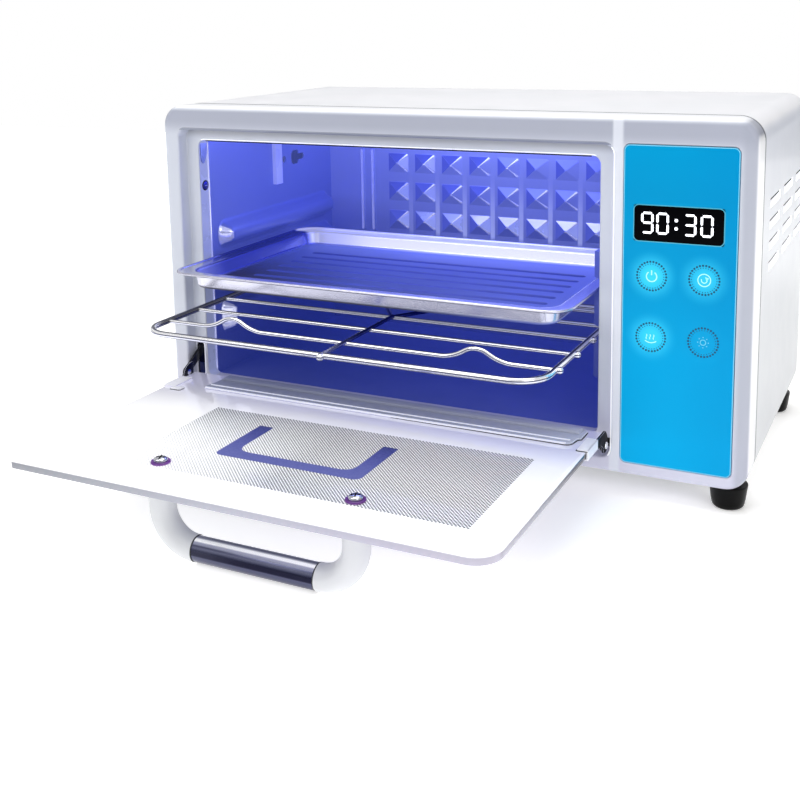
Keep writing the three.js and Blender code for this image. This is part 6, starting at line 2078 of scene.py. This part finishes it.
@dataclass
class PanelPrint(Assembly):
    """What is printed on and shines through the control panel.

    Attributes:
        y: how far the print stands before the face.
        dots: number of dots in a key's ring.
        segments: width of the bars that make the digits.
    """

    y: float = -0.03
    dots: int = 30
    segments: float = 1.15

    def build(self) -> None:
        """Makes panel, display digits, key rings and icons."""
        self.shop.dress(self.shop.special(panel_blue), ["control_panel"], 0.25)
        self.shop.dress(self.shop.ink("screen_black", "030306", 0.12), ["display_lens"], 0.2)
        edge = Piece("panel_edge", Facing.FRONT)
        plate = Oblong(110.1, 166.4, 7.1, 173.1, 3.0, 8)
        edge.stack([(plate.grown(0.05), 0.1), (plate.grown(-0.1), -0.04), (plate.grown(-0.45), -0.02)])
        # painted highlight: a light cyan, faintly glowing rim round the panel's edge
        cyan = self.shop.ink("edge_cyan_highlight", "7fd4ee", 0.3, 0.1)
        edge.done(Body.CABINET, [cyan], (), "panel_blue", toward=Axis.Y)
        border = Piece("display_border", Facing.FRONT)
        screen = Oblong(115.6, 159.8, 124.9, 143.0, 2.4, 8)
        border.stack([(screen.grown(0.45), self.y), (screen.grown(-0.05), self.y - 0.08)])
        cyan = self.shop.ink("border_cyan", "4fb4cf", 0.3)
        border.done(Body.CABINET, [cyan], (), "panel_blue", toward=Axis.Y)
        self._digits()
        self._rings()
        self._icons()

    def _digits(self) -> None:
        """Four digits of seven bars each, and the colon."""
        piece = Piece("display_digits", Facing.FRONT)
        bars = {"a": (0, 1, 1, 1), "g": (0, 0.5, 1, 0.5), "d": (0, 0, 1, 0), "f": (0, 0.5, 0, 1),
                "b": (1, 0.5, 1, 1), "e": (0, 0, 0, 0.5), "c": (1, 0, 1, 0.5)}
        shapes = {"9": "abcdfg", "0": "abcdef", "3": "abcdg"}
        width, height, low = 5.1, 9.9, 129.2
        half = self.segments / 2
        for char, left in (("9", 119.7), ("0", 127.3), ("3", 140.8), ("0", 149.0)):
            for name in shapes[char]:
                x0, z0, x1, z1 = bars[name]
                start = Vector((left + x0 * width, low + z0 * height))
                end = Vector((left + x1 * width, low + z1 * height))
                way = (end - start).normalized()
                side = Vector((-way.y, way.x)) * half
                start, end = start + way * 0.22, end - way * 0.22
                spots = (start, start + way * half + side, end - way * half + side,
                         end, end - way * half - side, start + way * half - side)
                piece.bm.faces.new([piece.bm.verts.new((u, self.y, v)) for u, v in spots])
        for z in (low + 2.8, low + 6.9):
            piece.circle(136.6, z, self.y, 0.85, 16, True)
        light = self.shop.ink("lit_white", "f4f7ff", 0.4, 1.2)
        piece.done(Body.CABINET, [light], (), "screen_black", toward=Axis.Y)

    def _rings(self) -> None:
        """A ring of printed dots round each key, with a finer one inside it."""
        piece = Piece("key_rings", Facing.FRONT)
        for kx, kz in KEY_SPOTS:
            for radius, dot in ((7.35, 0.56), (6.15, 0.24)):
                edges = piece.circle(kx + radius, kz, self.y, dot, 8, True)
                face = edges[0].link_faces[0]
                for step in range(1, self.dots):
                    copy = bmesh.ops.duplicate(piece.bm, geom=[face])["geom"]
                    verts = [item for item in copy if isinstance(item, bmesh.types.BMVert)]
                    turn = Matrix.Rotation(math.tau * step / self.dots, 3, "Y")
                    bmesh.ops.rotate(piece.bm, cent=(kx, self.y, kz), matrix=turn, verts=verts)
        piece.done(Body.CABINET, [self.shop.ink("ring_blue", "044a72")], (), "panel_blue", toward=Axis.Y)

    def _arc(self, piece: Piece, middle: Spot, radius: float, width: float, start: float,
             sweep: float) -> None:
        """A flat ribbon along part of a circle, by turning a short line.

        Args:
            piece: what it belongs to.
            middle: the circle's middle along X and Z.
            radius: the circle's radius.
            width: the ribbon's width.
            start: the angle where it starts, in degrees.
            sweep: the angle that it covers.
        """
        a = math.radians(start)
        ends = [piece.bm.verts.new((middle[0] + r * math.cos(a), self.y, middle[1] + r * math.sin(a)))
                for r in (radius - width / 2, radius + width / 2)]
        edge = piece.bm.edges.new(ends)
        bmesh.ops.spin(piece.bm, geom=[*ends, edge], cent=(middle[0], self.y, middle[1]), axis=(0, -1, 0),
                       angle=math.radians(sweep), steps=max(int(abs(sweep) / 15), 3), use_duplicate=False)

    def _icons(self) -> None:
        """A plain sign in each ring: on and off, turning arrow, warm air and lamp."""
        piece = Piece("key_icons", Facing.FRONT)
        self._arc(piece, (124.9, 106.9), 2.6, 0.6, 125, 290)
        piece.fill(piece.loop(Oblong(124.6, 125.2, 107.6, 110.1), self.y))
        self._arc(piece, (150.9, 107.2), 3.1, 0.5, 0, 360)
        self._arc(piece, (150.9, 107.2), 1.4, 0.48, 160, 250)
        arrow = ((151.3, 108.9), (153.2, 108.3), (152.0, 106.9))
        piece.bm.faces.new([piece.bm.verts.new((x, self.y, z)) for x, z in arrow])
        for k in (-1.8, 0.0, 1.8):
            self._arc(piece, (125.5 + k, 75.0), 1.0, 0.45, 145, 75)
            self._arc(piece, (123.9 + k, 76.3), 1.0, 0.45, -35, 75)
        self._arc(piece, (125.0, 77.2), 4.6, 0.5, 232, 76)
        cyan = self.shop.ink("lit_cyan", "a6ecf8", 0.4, 0.35)
        piece.done(Body.CABINET, [cyan], (), "panel_blue", toward=Axis.Y)
        dim = Piece("key_icon_dim", Facing.FRONT)
        self._arc(dim, (151.1, 75.6), 1.35, 0.4, 0, 360)
        for k in range(8):
            a = math.radians(45 * k)
            dim.circle(151.1 + 2.6 * math.cos(a), 75.6 + 2.6 * math.sin(a), self.y, 0.3, 8, True)
        cyan = self.shop.ink("dim_cyan", "6fd0e8", 0.4, 0.15)
        dim.done(Body.CABINET, [cyan], (), "panel_blue", toward=Axis.Y)


@dataclass
class Feet(Assembly):
    """Black rubber feet.

    Attributes:
        places: where they stand, with their nodes' names.
    """

    places: tuple = ((-163.5, 12.0, "front_left"), (163.5, 12.0, "front_right"),
                     (-163.5, 168.0, "back_left"), (163.5, 168.0, "back_right"))

    def build(self) -> None:
        """Makes the feet."""
        profile = [(2.0, -4.0), (4.0, -4.0), (4.0, -12.0), (4.3, -12.2), (6.2, -12.2), (7.2, -11.9),
                   (7.9, -11.2), (8.3, -10.0), (8.8, -7.5), (9.3, -3.6), (9.7, -1.0), (9.75, -0.4),
                   (9.6, 0.0), (2.0, 0.0), (2.0, -4.0)]
        for x, y, label in self.places:
            piece = Piece(f"rubber_foot_{label}")
            piece.turned(profile, (x, y, 0), steps=40)
            piece.done(Body.CABINET, self.shop.finishes("rubber"), [f"foot_{label}"], "foot_rubber", 50)


def dress_all(shop: Workshop) -> None:
    """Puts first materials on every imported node."""
    nodes = shop.frame["nodes"]
    shop.dress(shop.finish("shell"), list(nodes))
    shop.dress(shop.finish("shell"), ["rear_panel"], 0.3)
    shop.dress(shop.finish("zinc"), ["base_plate", "lamp_ballast", "ptc_heater", "thermal_cutout"], 0.2)
    dark = ["display_module", "fan_frame", "fan_rotor", "mains_inlet", "interlock_reed"]
    shop.dress(shop.finish("dark"), dark, 0.3)
    shop.dress(shop.finish("board"), ["touch_board", "power_board"])
    shop.dress(shop.finish("copper"), [name for name in nodes if name.startswith("touch_pad")])
    shop.dress(shop.finish("chrome"), [name for name in nodes if name.startswith("foot_screw")])


def main() -> None:
    """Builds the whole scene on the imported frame."""
    logging.basicConfig(level=logging.INFO)
    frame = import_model()
    shop = Workshop(frame)
    PhotoCamera().build()
    Studio().build()
    dress_all(shop)
    for maker in (Chamber, FrontFrame, Shell, DoorGlass, Hinges, Handle, Tray, Rack, PanelPrint, Feet):
        LOG.info("making %s", maker.__name__)
        maker(shop).build()


if __name__ == "__main__":
    main()
